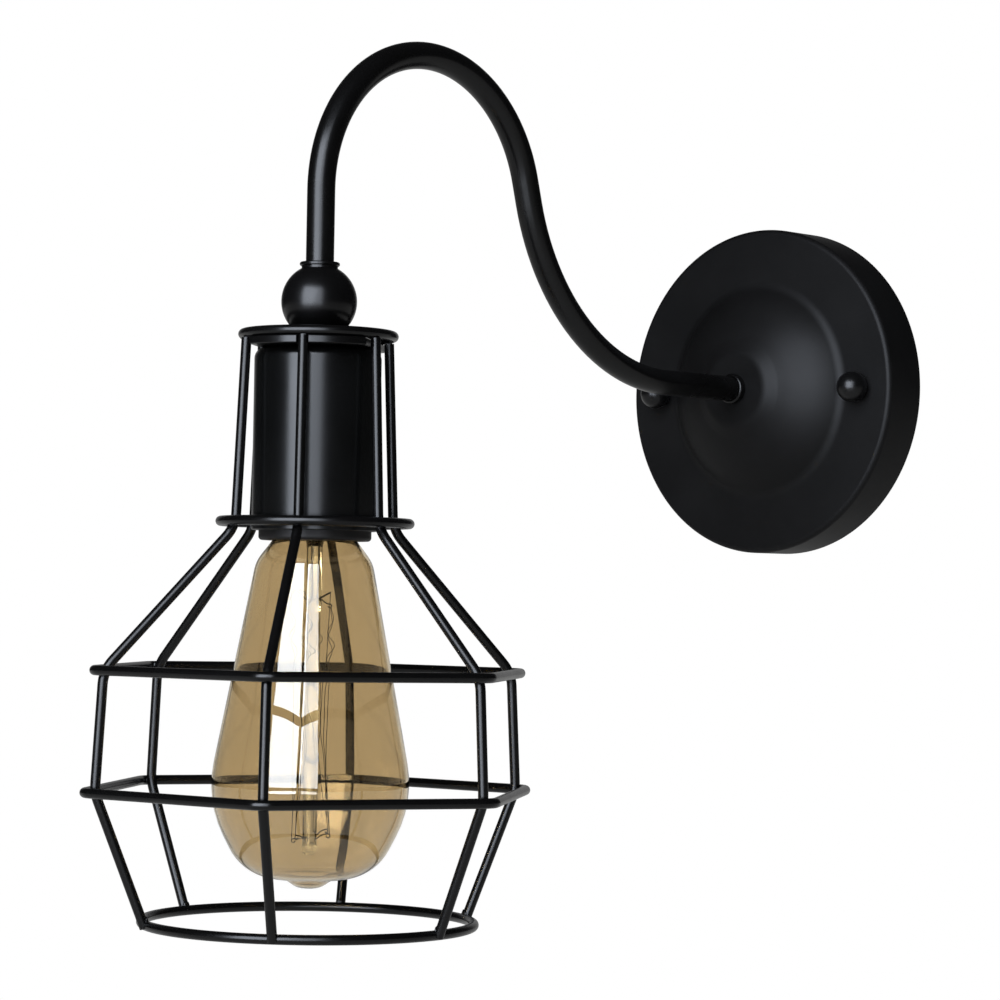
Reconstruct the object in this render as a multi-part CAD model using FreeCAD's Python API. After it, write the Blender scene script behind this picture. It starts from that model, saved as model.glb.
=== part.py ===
import FreeCAD, Part
import math
import os

V = FreeCAD.Vector

# Cage wall light. Millimetres, +Z up. The origin is the centre of the canopy's back, on the wall,
# and the lamp reaches out along -Y. "Depth" is a distance from the wall, and z = 0 is the canopy's axis.

# ---- canopy and wall side ----
canopy_diameter = 120.0
canopy_wall = 1.0
rim_depth = 18.5            # flat ring in front of the rim
rim_corner = 2.0
dome_foot_radius = 38.5     # where the dome leaves the flat ring
dome_foot_fillet = 4.0
dome_flank_slope = 45.0     # degrees from the flat ring, at the foot
dome_middle_slope = 28.0
dome_crown_slope = 14.0
dome_flank_width = 5.0
dome_middle_width = 9.5
boss_foot_radius = 16.5
boss_face_radius = 14.5
boss_height = 2.4
dome_flank_fillet = 28.0
dome_crown_fillet = 36.0
boss_foot_fillet = 1.6
boss_edge_fillet = 1.2
nut_spacing = 92.0          # between the two ball nuts
stud_diameter = 4.0
thread_gap = 0.05           # radial gap that stands for a screw thread
hole_gap = 0.2              # radial gap of a plain screw hole
screw_end_gap = 1.0         # from a screw's end to the bottom of its blind hole
ball_nut_diameter = 11.0
ball_nut_base_diameter = 9.0
ball_nut_height = 9.6
ball_nut_cover = 2.5        # metal left over the end of the blind tapped hole
bracket_width = 18.0
bracket_thickness = 1.6
bracket_end_margin = 6.0    # from a stud's centre to the bracket's end
bracket_corner = 4.5
cable_hole_diameter = 12.0
slot_spacing = 60.0
slot_width = 4.5
slot_length = 12.0
earth_screw_offset = 15.0
earth_screw_diameter = 4.0
earth_head_diameter = 7.5
earth_head_height = 2.4
earth_head_edge = 1.2
earth_slot_width = 1.0
earth_slot_depth = 1.1
earth_clamp_gap = 2.2       # room under the head for the earth wire

# ---- arm ----
arm_projection = 250.0      # wall to the outer side of the arm's hanging leg
arm_rise = 99.0             # top of the cage to the top of the arm
arm_diameter = 9.0
arm_wall = 0.9
crown_radius = 49.3         # bend over the top, to the tube's centre line
fall_slope = 74.5           # degrees below level, between the two bends
lower_bend_radius = 77.5
arm_tail = 9.5              # threaded tail behind the canopy's boss
collar_diameter = 10.9
collar_length = 2.6
collar_edge = 0.6
lock_washer_thickness = 0.8
arm_washer_diameter = 17.0
arm_nut_across_flats = 14.0
arm_nut_thickness = 4.0

# ---- ball coupling ----
ball_diameter = 24.2
ball_centre_above_strap = 12.5
ball_seat_diameter = 14.0
ball_lip_diameter = 12.8
ball_neck_diameter = 11.6
ball_lip_thickness = 1.2
ball_lip_rise = 0.5         # lip above the sphere's pole
ball_lip_edge = 0.4
arm_socket_depth = 9.5
wire_hole_diameter = 6.0
nipple_diameter = 8.0
nipple_bore = 5.6
nipple_reach_up = 13.0
nipple_reach_down = 8.2

# ---- cage ----
cage_height = 190.0
cage_width = 150.0          # over two opposite corners of the lower six-sided ring
cage_top_z = 6.4
cage_wire = 3.2
cage_turn = 4.4             # degrees from +X to the first wire
wire_count = 6
top_ring_radius = 24.0
shoulder_ring_radius = 30.1
shoulder_drop = 61.3
upper_hex_drop = 108.8
upper_wire_radius = 68.1
lower_hex_drop = 146.8
bottom_ring_radius = 51.8
wire_bend_radius = 4.0
hex_corner_radius = 7.0
weld_gap = 0.05
shoulder_bend_drop = 1.8    # the wires turn outwards this far below the shoulder ring's centre
strap_width = 20.0
strap_thickness = 2.5
strap_turn = 120.0          # degrees from the first wire

# ---- lampholder ----
cup_diameter = 40.6
cup_height = 58.2
cup_wall = 0.8
cup_shoulder = 3.5
holder_diameter = 36.0
holder_rim_drop = 3.2       # below the cup's edge
holder_shoulder_depth = 22.5
holder_head_radius = 11.5
holder_head_height = 6.5
holder_floor = 5.9          # from the shoulder down to the bore's end
holder_mouth_edge = 0.8
holder_rim_edge = 1.2
holder_shoulder_edge = 0.7
holder_foot_fillet = 0.6
holder_head_edge = 1.0
bridge_width = 9.0
bridge_thickness = 1.2
bridge_gap = 0.6            # between the bridge's legs and the holder's head
bridge_foot_margin = 0.6    # from the foot's end to the holder's outside
holder_washer_diameter = 13.0
holder_nut_across_flats = 13.0
holder_nut_thickness = 3.5
bridge_screw_diameter = 2.6
bridge_screw_head = 4.4
bridge_screw_head_height = 1.6
bridge_screw_length = 5.0
shell_inner_diameter = 27.0
shell_thickness = 0.4
shell_recess = 4.0          # from the holder's mouth to the shell's edge
contact_width = 6.0
contact_thickness = 0.5
contact_drop = 2.2
terminal_offset = 6.5
terminal_width = 5.0
terminal_length = 9.0
terminal_height = 5.5
terminal_recess = 0.5       # below the holder's head
terminal_hole_gap = 0.3
terminal_core_depth = 2.0
terminal_core_offset = 2.0  # from a terminal's middle to its wire
terminal_screw_offset = 2.2
terminal_screw_diameter = 2.5
terminal_screw_depth = 3.0
terminal_screw_head = 3.8
terminal_screw_head_height = 1.3
terminal_slot_width = 0.6
terminal_slot_depth = 0.7

# ---- bulb ----
cap_diameter = 26.3
cap_wall = 0.3
cap_length = 22.5
seat_gap = 0.3              # bulb's tip to the centre contact
tip_radius = 4.8
tip_height = 1.9
tip_edge = 1.5
cap_insulator_height = 2.3
insulator_margin = 0.8      # round the tip
cap_land_radius = 10.257    # small end of the cap
cap_land_height = 2.0
cap_hole_radius = 2.5
cap_edge = 1.5
cap_land_edge = 1.0
glass_wall = 0.9
glass_neck_radius = 12.5
neck_drop = 2.0             # below the cap's edge
neck_in_cap = 12.0
neck_fillet = 4.0
shoulder_radius = 18.6
shoulder_fall = 8.0
shoulder_fillet = 12.0
cone_slope = 10.8           # degrees from upright
end_corner_fall = 84.0      # below the neck, where the cone's line meets the end's line
end_corner_fillet = 36.0
end_flat_radius = 20.5
end_flat_fall = 24.7
end_fillet = 24.0
tip_off_foot = 4.1          # foot of the drawn-out tip
tip_off_radius = 2.6
tip_off_length = 3.0
tip_off_neck = 1.0          # below the glass, where the drawn-out tip is narrowest
tip_off_end_radius = 1.3
tip_off_fillet = 1.0
tip_off_edge = 0.8
stem_radius = 4.0
stem_fall = 24.0            # below the glass neck
stem_flare_height = 10.0
stem_flare_gap = 0.3        # between the flare and the neck's inside
stem_taper_fall = 2.0
stem_taper_fillet = 5.0
stem_end_fillet = 1.5
rod_radius = 1.3
rod_tail = 4.0              # rod below the lower hooks
button_radius = 2.08        # at the rod's end
upper_hook_fall = 26.0
upper_hook_radius = 8.5
lower_hook_fall = 92.0
lower_hook_radius = 11.5
hook_count = 6
support_wire = 0.5
filament_wire = 0.35
lead_wire = 0.6
lead_offset = 2.3
lead_knee_fall = 1.0        # below the stem's end
lead_bend = 0.8
lead_cap_gap = 0.2
lead_rise = 0.8             # lead's end above the filament's end

# ---- wiring ----
core_diameter = 2.0
core_offset = 1.2
block_pitch = 8.0
block_width = 9.0
block_depth = 11.0
block_height = 12.0
block_corner = 1.2
block_drop = 17.0
block_back_gap = 5.0
block_screw_diameter = 3.4
block_screw_drop = 4.0      # below the block's top
block_screw_length = 3.0
block_screw_sink = 1.0      # head below the block's face
block_screw_gap = 0.3
block_poles = 3
core_bend = 3.0
core_rise = 11.0            # straight run up from the block
core_tube_overhang = 2.0    # core out of the arm before it bends
core_nipple_overhang = 1.5
core_over_terminal = 2.5
core_in_terminal = 2.0
earth_core_rise = 5.5
earth_core_side = 5.0
earth_core_end = 3.0        # core past the screw's axis
earth_core_bend = 2.5
earth_core_clamp_bend = 3.0
clamp_gap = 0.1

# ---- places worked out from the sizes above ----
canopy_radius = canopy_diameter / 2
arm_radius = arm_diameter / 2
arm_bore_radius = arm_radius - arm_wall
head_y = -(arm_projection - arm_radius)
wire_radius = cage_wire / 2
top_ring_z = cage_top_z - wire_radius
strap_top_z = top_ring_z - wire_radius - weld_gap
strap_bottom_z = strap_top_z - strap_thickness
arm_top_z = cage_top_z + arm_rise - arm_radius
ball_z = strap_top_z + ball_centre_above_strap
ball_top_z = ball_z + ball_diameter / 2 + ball_lip_rise
arm_end_z = ball_top_z - arm_socket_depth
cup_top_z = strap_bottom_z
cup_bottom_z = cup_top_z - cup_height
holder_mouth_z = cup_bottom_z - holder_rim_drop
holder_shoulder_z = cup_top_z - holder_shoulder_depth
holder_head_z = holder_shoulder_z + holder_head_height
holder_floor_z = holder_shoulder_z - holder_floor
shell_radius = shell_inner_diameter / 2
cap_radius = cap_diameter / 2
contact_z = holder_floor_z - contact_drop - contact_thickness
tip_z = contact_z - seat_gap
cap_top_z = tip_z - tip_height - cap_insulator_height
cap_bottom_z = cap_top_z - cap_length
neck_z = cap_bottom_z - neck_drop
boss_face_depth = (rim_depth
                   + dome_flank_width * math.tan(math.radians(dome_flank_slope))
                   + dome_middle_width * math.tan(math.radians(dome_middle_slope))
                   + (dome_foot_radius - dome_flank_width - dome_middle_width - boss_foot_radius)
                   * math.tan(math.radians(dome_crown_slope))
                   + boss_height)
boss_back_depth = boss_face_depth - canopy_wall
arm_tail_depth = boss_back_depth - arm_tail


# ---- shapes used all over ----
def corner_arc(before, corner, after, radius):
    """Tangent arc of a radius at a corner: its start, middle and end."""
    back = (before - corner).normalize()
    ahead = (after - corner).normalize()
    half_turn = (math.pi - back.getAngle(ahead)) / 2
    reach = radius * math.tan(half_turn)
    inward = (back + ahead).normalize()
    middle = corner + inward * (radius / math.cos(half_turn) - radius)
    return corner + back * reach, middle, corner + ahead * reach


def path_edges(points, radii):
    """Straight runs through the points, with a tangent arc of each radius at the inner points."""
    edges = []
    here = points[0]
    for index, radius in enumerate(radii, start=1):
        if radius:
            start, middle, end = corner_arc(points[index - 1], points[index], points[index + 1], radius)
        else:
            start = middle = end = points[index]
        if here.distanceToPoint(start) > 1e-6:
            edges.append(Part.LineSegment(here, start).toShape())
        if radius:
            edges.append(Part.Arc(start, middle, end).toShape())
        here = end
    if here.distanceToPoint(points[-1]) > 1e-6:
        edges.append(Part.LineSegment(here, points[-1]).toShape())
    return edges


def shifted_line(points, gap):
    """The same open line, a gap away to its left, in the XZ plane."""
    normals = []
    for a, b in zip(points, points[1:]):
        run = (b - a).normalize()
        normals.append(V(-run.z, 0, run.x))
    shifted = [points[0] + normals[0] * gap]
    for first, second, point in zip(normals, normals[1:], points[1:]):
        shifted.append(point + (first + second) * (gap / (1 + first.dot(second))))
    shifted.append(points[-1] + normals[-1] * gap)
    return shifted


def sheet_radii(points, radii, gap):
    """Corner radii of the shifted line: smaller on a left turn, larger on a right turn."""
    shifted = []
    for index, radius in enumerate(radii, start=1):
        before = points[index] - points[index - 1]
        after = points[index + 1] - points[index]
        left_turn = before.z * after.x - before.x * after.z < 0
        shifted.append(radius - gap if left_turn else radius + gap)
    return shifted


def spun_sheet(points, radii, wall):
    """Sheet of one wall thickness, spun round the Z axis from its outer line (x is the radius)."""
    inner = shifted_line(points, wall)
    inner_radii = sheet_radii(points, radii, wall)
    for line in (points, inner):
        if abs(points[-1].x) < 1e-9:
            line[-1] = V(0, 0, line[-1].z)
    outline = path_edges(points, radii)
    outline.append(Part.LineSegment(points[-1], inner[-1]).toShape())
    outline += path_edges(inner[::-1], inner_radii[::-1])
    outline.append(Part.LineSegment(inner[0], points[0]).toShape())
    return spun(outline)


def spun(outline):
    """Solid spun round the Z axis from a closed outline in the XZ plane."""
    face = Part.Face(Part.Wire(Part.__sortEdges__(outline)))
    solid = face.revolve(V(0, 0, 0), V(0, 0, 1), 360)
    return solid if solid.Volume > 0 else solid.reversed()


def turned(points, radii=None):
    """Solid turned on the Z axis: a closed polygon of radius and height, with rounded corners."""
    corners = [V(r, 0, z) for r, z in points]
    closed = corners + [corners[0]]
    edges = path_edges(closed, radii or [0] * (len(closed) - 2))
    return spun(edges)


def tube_along(edges, radius, bore=0.0):
    """Round tube, or rod if it has no bore, swept along tangent edges."""
    spine = Part.Wire(edges)
    start = spine.OrderedVertexes[0].Point
    first = spine.OrderedEdges[0]
    heading = first.tangentAt(first.FirstParameter)
    if first.valueAt(first.FirstParameter).distanceToPoint(start) > 1e-6:
        heading = heading * -1
    solids = []
    for size in filter(None, (radius, bore)):
        ring = Part.Wire(Part.makeCircle(size, start, heading))
        solids.append(spine.makePipeShell([ring], True, False))
    return solids[0].cut(solids[1]) if bore else solids[0]


def facing_wall(shape):
    """Turn a shape made round Z so that its +Z points out of the wall, along -Y."""
    shape.rotate(V(0, 0, 0), V(1, 0, 0), 90)
    return shape


def at_head(shape):
    """Move a shape made round Z onto the lamp head's axis."""
    shape.translate(V(0, head_y, 0))
    return shape


def hexagon_nut(across_flats, bottom_z, thickness, bore_radius):
    """Plain six-sided nut with chamfered corners."""
    corner_radius = across_flats / math.sqrt(3)
    corners = [V(corner_radius * math.cos(math.radians(60 * k)),
                 corner_radius * math.sin(math.radians(60 * k)), bottom_z) for k in range(7)]
    body = Part.Face(Part.makePolygon(corners)).extrude(V(0, 0, thickness))
    chamfer = (corner_radius - across_flats / 2) * 1.2
    limit = turned([(0, bottom_z), (corner_radius - chamfer, bottom_z),
                    (corner_radius, bottom_z + chamfer / 2),
                    (corner_radius, bottom_z + thickness - chamfer / 2),
                    (corner_radius - chamfer, bottom_z + thickness), (0, bottom_z + thickness)])
    return body.common(limit).cut(bore(bore_radius, bottom_z, thickness))


def bore(radius, bottom_z, height, x=0.0, y=0.0):
    """Cutting cylinder that runs a little past both ends."""
    return Part.makeCylinder(radius, height + 2, V(x, y, bottom_z - 1), V(0, 0, 1))


def washer(outer_diameter, bottom_z, thickness, bore_radius):
    disc = Part.makeCylinder(outer_diameter / 2, thickness, V(0, 0, bottom_z))
    return disc.cut(bore(bore_radius, bottom_z, thickness))


parts = {}


# ---- wall bracket, studs and earth screw ----
def wall_bracket():
    reach = nut_spacing / 2 + bracket_end_margin
    half = bracket_width / 2
    plate = Part.makeBox(2 * reach, bracket_width, bracket_thickness, V(-reach, -half, 0))
    corners = [edge for edge in plate.Edges if abs(edge.Length - bracket_thickness) < 1e-6]
    plate = plate.makeFillet(bracket_corner, corners)
    plate = plate.cut(bore(cable_hole_diameter / 2, 0, bracket_thickness))
    slot_half = (slot_length - slot_width) / 2
    for side in (-1, 1):
        centre = side * slot_spacing / 2
        ends = [bore(slot_width / 2, 0, bracket_thickness, centre + s * slot_half) for s in (-1, 1)]
        middle = Part.makeBox(2 * slot_half, slot_width, bracket_thickness + 2,
                              V(centre - slot_half, -slot_width / 2, -1))
        plate = plate.cut(middle.fuse(ends))
        tapped = bore(stud_diameter / 2 + thread_gap, 0, bracket_thickness, side * nut_spacing / 2)
        plate = plate.cut(tapped)
    plate = plate.cut(bore(earth_screw_diameter / 2 + thread_gap, 0, bracket_thickness, -earth_screw_offset))
    return facing_wall(plate)


def bracket_studs():
    length = rim_depth + ball_nut_height - ball_nut_cover - screw_end_gap
    studs = [Part.makeCylinder(stud_diameter / 2, length, V(side * nut_spacing / 2, 0, 0))
             for side in (-1, 1)]
    return facing_wall(Part.makeCompound(studs))


def earth_screw():
    under_head = bracket_thickness + earth_clamp_gap
    radius = earth_head_diameter / 2
    top = under_head + earth_head_height
    shank = Part.makeCylinder(earth_screw_diameter / 2, under_head + earth_head_height / 2)
    head = turned([(0, under_head), (radius, under_head), (radius, top), (0, top)], [0, earth_head_edge, 0])
    slot = Part.makeBox(earth_head_diameter, earth_slot_width, earth_head_height,
                        V(-radius, -earth_slot_width / 2, top - earth_slot_depth))
    screw = shank.fuse(head).cut(slot)
    screw.translate(V(-earth_screw_offset, 0, 0))
    return facing_wall(screw)


parts["wall_bracket"] = wall_bracket()
parts["bracket_studs"] = bracket_studs()
parts["earth_screw"] = earth_screw()


# ---- canopy: one spun sheet ----
def canopy():
    flank_end = dome_foot_radius - dome_flank_width
    middle_end = flank_end - dome_middle_width
    flank_depth = rim_depth + dome_flank_width * math.tan(math.radians(dome_flank_slope))
    middle_depth = flank_depth + dome_middle_width * math.tan(math.radians(dome_middle_slope))
    line = [V(canopy_radius, 0, 0), V(canopy_radius, 0, rim_depth), V(dome_foot_radius, 0, rim_depth),
            V(flank_end, 0, flank_depth), V(middle_end, 0, middle_depth),
            V(boss_foot_radius, 0, boss_face_depth - boss_height),
            V(boss_face_radius, 0, boss_face_depth), V(arm_radius + hole_gap, 0, boss_face_depth)]
    radii = [rim_corner, dome_foot_fillet, dome_flank_fillet, dome_crown_fillet, boss_foot_fillet,
             boss_edge_fillet]
    shell = spun_sheet(line, radii, canopy_wall)
    for side in (-1, 1):
        shell = shell.cut(bore(stud_diameter / 2 + hole_gap, rim_depth - canopy_wall, canopy_wall,
                               side * nut_spacing / 2))
    return facing_wall(shell)


def ball_nuts():
    radius = ball_nut_diameter / 2
    base = ball_nut_base_diameter / 2
    centre_z = ball_nut_height - radius
    foot_z = centre_z - math.sqrt(radius ** 2 - base ** 2)
    nut = Part.makeSphere(radius, V(0, 0, centre_z))
    nut = nut.common(Part.makeBox(4 * radius, 4 * radius, ball_nut_height,
                                  V(-2 * radius, -2 * radius, foot_z)))
    nut = nut.fuse(Part.makeCylinder(base, foot_z)).removeSplitter()
    nut = nut.cut(bore(stud_diameter / 2 + thread_gap, -1, ball_nut_height - ball_nut_cover))
    nuts = []
    for side in (-1, 1):
        copy = nut.copy()
        copy.translate(V(side * nut_spacing / 2, 0, rim_depth))
        nuts.append(copy)
    return facing_wall(Part.makeCompound(nuts))


parts["canopy"] = canopy()
parts["ball_nuts"] = ball_nuts()


# ---- arm: one bent tube, its front collar, and the washer and nut behind the boss ----
def arm_line(side_offset=0.0, wall_end_depth=arm_tail_depth, head_end_z=arm_end_z):
    """Corner points and bend radii of the arm's centre line, from the wall to the head."""
    crown_end = head_y + crown_radius + crown_radius * math.tan(math.radians(fall_slope / 2))
    lower_corner = crown_end + arm_top_z / math.tan(math.radians(fall_slope))
    points = [V(side_offset, -wall_end_depth, 0), V(side_offset, lower_corner, 0),
              V(side_offset, crown_end, arm_top_z), V(side_offset, head_y, arm_top_z),
              V(side_offset, head_y, head_end_z)]
    return points, [lower_bend_radius, crown_radius, crown_radius]


def arm_collar():
    inner = arm_radius + thread_gap
    outer = collar_diameter / 2
    top = boss_face_depth + collar_length
    ring = turned([(inner, boss_face_depth), (outer, boss_face_depth), (outer, top), (inner, top)],
                  [0, collar_edge, 0])
    return facing_wall(ring)


parts["arm_tube"] = tube_along(path_edges(*arm_line()), arm_radius, arm_bore_radius)
parts["arm_collar"] = arm_collar()
arm_washer_depth = boss_back_depth - lock_washer_thickness
parts["arm_lock_washer"] = facing_wall(washer(arm_washer_diameter, arm_washer_depth, lock_washer_thickness,
                                              arm_radius + hole_gap))
parts["arm_lock_nut"] = facing_wall(hexagon_nut(arm_nut_across_flats, arm_washer_depth - arm_nut_thickness,
                                                arm_nut_thickness, arm_radius + thread_gap))


# ---- ball coupling and the nipple that ties arm, cage and cup together ----
def ball_coupling():
    ball = Part.makeSphere(ball_diameter / 2, V(0, 0, ball_z))
    seat = Part.makeCylinder(ball_seat_diameter / 2, ball_z - strap_top_z, V(0, 0, strap_top_z))
    lip_z = ball_top_z - ball_lip_thickness
    lip_radius = ball_lip_diameter / 2
    lip = turned([(0, lip_z), (lip_radius, lip_z), (lip_radius, ball_top_z), (0, ball_top_z)],
                 [0, ball_lip_edge, 0])
    neck = Part.makeCylinder(ball_neck_diameter / 2, lip_z - ball_z, V(0, 0, ball_z))
    body = ball.fuse([seat, neck, lip]).removeSplitter()
    below_seat = Part.makeBox(ball_diameter, ball_diameter, ball_diameter,
                              V(-ball_diameter / 2, -ball_diameter / 2, strap_top_z - ball_diameter))
    body = body.cut(below_seat)
    body = body.cut(Part.makeCylinder(arm_radius + thread_gap, arm_socket_depth + 1, V(0, 0, arm_end_z)))
    body = body.cut(bore(wire_hole_diameter / 2, strap_top_z, arm_end_z - strap_top_z))
    body = body.cut(bore(nipple_diameter / 2 + thread_gap, strap_top_z, nipple_reach_up - screw_end_gap))
    return at_head(body)


def nipple():
    bottom = cup_top_z - cup_wall - nipple_reach_down
    length = strap_top_z + nipple_reach_up - bottom
    rod = Part.makeCylinder(nipple_diameter / 2, length, V(0, 0, bottom))
    return at_head(rod.cut(bore(nipple_bore / 2, bottom, length)))


parts["ball_coupling"] = ball_coupling()
parts["nipple"] = nipple()


# ---- cage: five rings, six bent wires and the strap, all welded ----
def round_ring(radius, z):
    return at_head(Part.makeTorus(radius, wire_radius, V(0, 0, z)))


def hexagon_ring(reach, z):
    """Closed ring of six straight runs; reach is from the axis to a rounded corner's centre line."""
    vertex = reach + hex_corner_radius * (1 / math.cos(math.radians(30)) - 1)
    corners = [V(vertex * math.cos(math.radians(cage_turn + 60 * k)),
                 vertex * math.sin(math.radians(cage_turn + 60 * k)), z) for k in range(7)]
    middle = (corners[0] + corners[1]) * 0.5
    edges = path_edges([middle] + corners[1:] + [middle], [hex_corner_radius] * wire_count)
    section = Part.Wire(Part.makeCircle(wire_radius, middle, corners[1] - corners[0]))
    return at_head(Part.Wire(edges).makePipeShell([section], True, False))


def cage_wire_solid(index):
    """One upright wire, from under the top ring down past the outside of the bottom ring."""
    angle = math.radians(cage_turn + 60 * index)
    points = [V(radius * math.cos(angle), radius * math.sin(angle), cage_top_z - drop)
              for radius, drop in wire_stations]
    last_run = (points[-1] - points[-2]).normalize()
    beyond = points[-1] + last_run * (2 * cage_wire)
    wire = tube_along(path_edges(points[:-1] + [beyond], [wire_bend_radius] * 3), wire_radius)
    below = Part.makeBox(cage_width, cage_width, cage_width,
                         V(-cage_width / 2, -cage_width / 2, cage_top_z - cage_height - cage_width))
    return at_head(wire.cut(below))


touching = cage_wire + weld_gap
shoulder_wire_radius = shoulder_ring_radius - touching
lower_ring_reach = cage_width / 2 - wire_radius
lower_wire_radius = lower_ring_reach - touching
foot_slope = math.atan((lower_wire_radius - bottom_ring_radius - touching)
                       / (cage_height - wire_radius - lower_hex_drop))
bottom_wire_radius = bottom_ring_radius + touching / math.cos(foot_slope)
wire_stations = [(top_ring_radius, touching), (shoulder_wire_radius, shoulder_drop + shoulder_bend_drop),
                 (upper_wire_radius, upper_hex_drop), (lower_wire_radius, lower_hex_drop),
                 (bottom_wire_radius, cage_height - wire_radius)]
parts["cage_top_ring"] = round_ring(top_ring_radius, top_ring_z)
parts["cage_shoulder_ring"] = round_ring(shoulder_ring_radius, cage_top_z - shoulder_drop)
parts["cage_upper_ring"] = hexagon_ring(upper_wire_radius + touching, cage_top_z - upper_hex_drop)
parts["cage_lower_ring"] = hexagon_ring(lower_ring_reach, cage_top_z - lower_hex_drop)
parts["cage_bottom_ring"] = round_ring(bottom_ring_radius, cage_top_z - cage_height + wire_radius)
for number in range(wire_count):
    parts["cage_wire_%d" % (number + 1)] = cage_wire_solid(number)


def cage_strap():
    """Flat bar under the top ring, notched round the two wires that it meets."""
    reach = top_ring_radius + wire_radius
    bar = Part.makeBox(2 * reach, strap_width, strap_thickness, V(-reach, -strap_width / 2, strap_bottom_z))
    bar = bar.common(Part.makeCylinder(reach, strap_thickness, V(0, 0, strap_bottom_z)))
    bar = bar.cut(bore(nipple_diameter / 2 + thread_gap, strap_bottom_z, strap_thickness))
    for side in (-1, 1):
        notch = bore(wire_radius + hole_gap, strap_bottom_z, strap_thickness, side * top_ring_radius)
        bar = bar.cut(notch)
    bar.rotate(V(0, 0, 0), V(0, 0, 1), cage_turn + strap_turn)
    return at_head(bar)


parts["cage_strap"] = cage_strap()


# ---- lampholder: steel cup, bridge, moulded holder, screw shell and contacts ----
def socket_cup():
    radius = cup_diameter / 2
    line = [V(radius, 0, cup_bottom_z), V(radius, 0, cup_top_z),
            V(nipple_diameter / 2 + thread_gap, 0, cup_top_z)]
    return at_head(spun_sheet(line, [cup_shoulder], cup_wall))


def holder_bridge():
    """Bent strip: a bar under the cup's top, two legs down, and two feet on the holder's shoulder."""
    top = cup_top_z - cup_wall
    leg = holder_head_radius + bridge_gap
    foot = holder_diameter / 2 - bridge_foot_margin
    ankle = holder_shoulder_z + bridge_thickness
    left = [V(-foot, 0, ankle), V(-leg - bridge_thickness, 0, ankle), V(-leg - bridge_thickness, 0, top),
            V(leg + bridge_thickness, 0, top), V(leg + bridge_thickness, 0, ankle), V(foot, 0, ankle)]
    inner = shifted_line(left, -bridge_thickness)
    outline = Part.makePolygon(left + inner[::-1] + [left[0]])
    strip = Part.Face(outline).extrude(V(0, bridge_width, 0))
    strip.translate(V(0, -bridge_width / 2, 0))
    strip = strip.cut(bore(nipple_diameter / 2 + hole_gap, top - bridge_thickness, bridge_thickness))
    for side in (-1, 1):
        strip = strip.cut(bore(bridge_screw_diameter / 2 + hole_gap, holder_shoulder_z, bridge_thickness,
                               side * bridge_screw_offset))
    strip.rotate(V(0, 0, 0), V(0, 0, 1), 90)
    return at_head(strip)


def holder_body():
    """Moulded body: a head for the terminals, a shoulder, and a tube that holds the screw shell."""
    outer = holder_diameter / 2
    shell_outer = shell_radius + shell_thickness + thread_gap
    body = turned([(0, holder_floor_z), (shell_outer, holder_floor_z), (shell_outer, holder_mouth_z),
                   (outer, holder_mouth_z), (outer, holder_shoulder_z), (holder_head_radius, holder_shoulder_z),
                   (holder_head_radius, holder_head_z), (0, holder_head_z)],
                  [0, holder_mouth_edge, holder_rim_edge, holder_shoulder_edge, holder_foot_fillet,
                   holder_head_edge, 0])
    room = hole_gap
    for side in (-1, 1):
        pocket = Part.makeBox(terminal_width + 2 * room, terminal_length + 2 * room, terminal_height + 1,
                              V(side * terminal_offset - terminal_width / 2 - room, -terminal_length / 2 - room,
                                holder_head_z - terminal_height))
        body = body.cut(pocket)
        body = body.cut(bore(bridge_screw_diameter / 2 + thread_gap, holder_shoulder_z - bridge_screw_length,
                             bridge_screw_length, 0, side * bridge_screw_offset))
    return at_head(body)


def bridge_screws():
    screws = []
    seat = holder_shoulder_z + bridge_thickness
    end = holder_shoulder_z - bridge_screw_length + screw_end_gap
    for side in (-1, 1):
        y = side * bridge_screw_offset
        shank = Part.makeCylinder(bridge_screw_diameter / 2, seat - end, V(0, y, end))
        head = Part.makeCylinder(bridge_screw_head / 2, bridge_screw_head_height, V(0, y, seat))
        screws.append(shank.fuse(head).removeSplitter())
    return at_head(Part.makeCompound(screws))


def screw_shell():
    bottom = holder_mouth_z + shell_recess
    height = holder_floor_z - bottom
    tube = Part.makeCylinder(shell_radius + shell_thickness, height, V(0, 0, bottom))
    return at_head(tube.cut(bore(shell_radius, bottom, height)))


def centre_contact():
    """Bent strip: flat on the holder's floor, stepping down to a pad over the bulb's tip."""
    pad = contact_width / 2
    line = [V(-3 * pad, 0, holder_floor_z), V(-1.8 * pad, 0, holder_floor_z),
            V(-pad, 0, contact_z + contact_thickness), V(pad, 0, contact_z + contact_thickness)]
    lower = shifted_line(line, -contact_thickness)
    strip = Part.Face(Part.makePolygon(line + lower[::-1] + [line[0]])).extrude(V(0, contact_width, 0))
    strip.translate(V(0, -contact_width / 2, 0))
    return at_head(strip)


def holder_terminals():
    clamps = []
    top = holder_head_z - terminal_recess
    for side in (-1, 1):
        x = side * terminal_offset
        block = Part.makeBox(terminal_width, terminal_length, terminal_height - terminal_recess,
                             V(x - terminal_width / 2, -terminal_length / 2, holder_head_z - terminal_height))
        block = block.cut(bore(core_diameter / 2 + terminal_hole_gap, top - terminal_core_depth,
                               terminal_core_depth, x, -terminal_core_offset))
        block = block.cut(bore(terminal_screw_diameter / 2 + thread_gap, top - terminal_screw_depth,
                               terminal_screw_depth, x, terminal_screw_offset))
        clamps.append(block)
    return at_head(Part.makeCompound(clamps))


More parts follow.
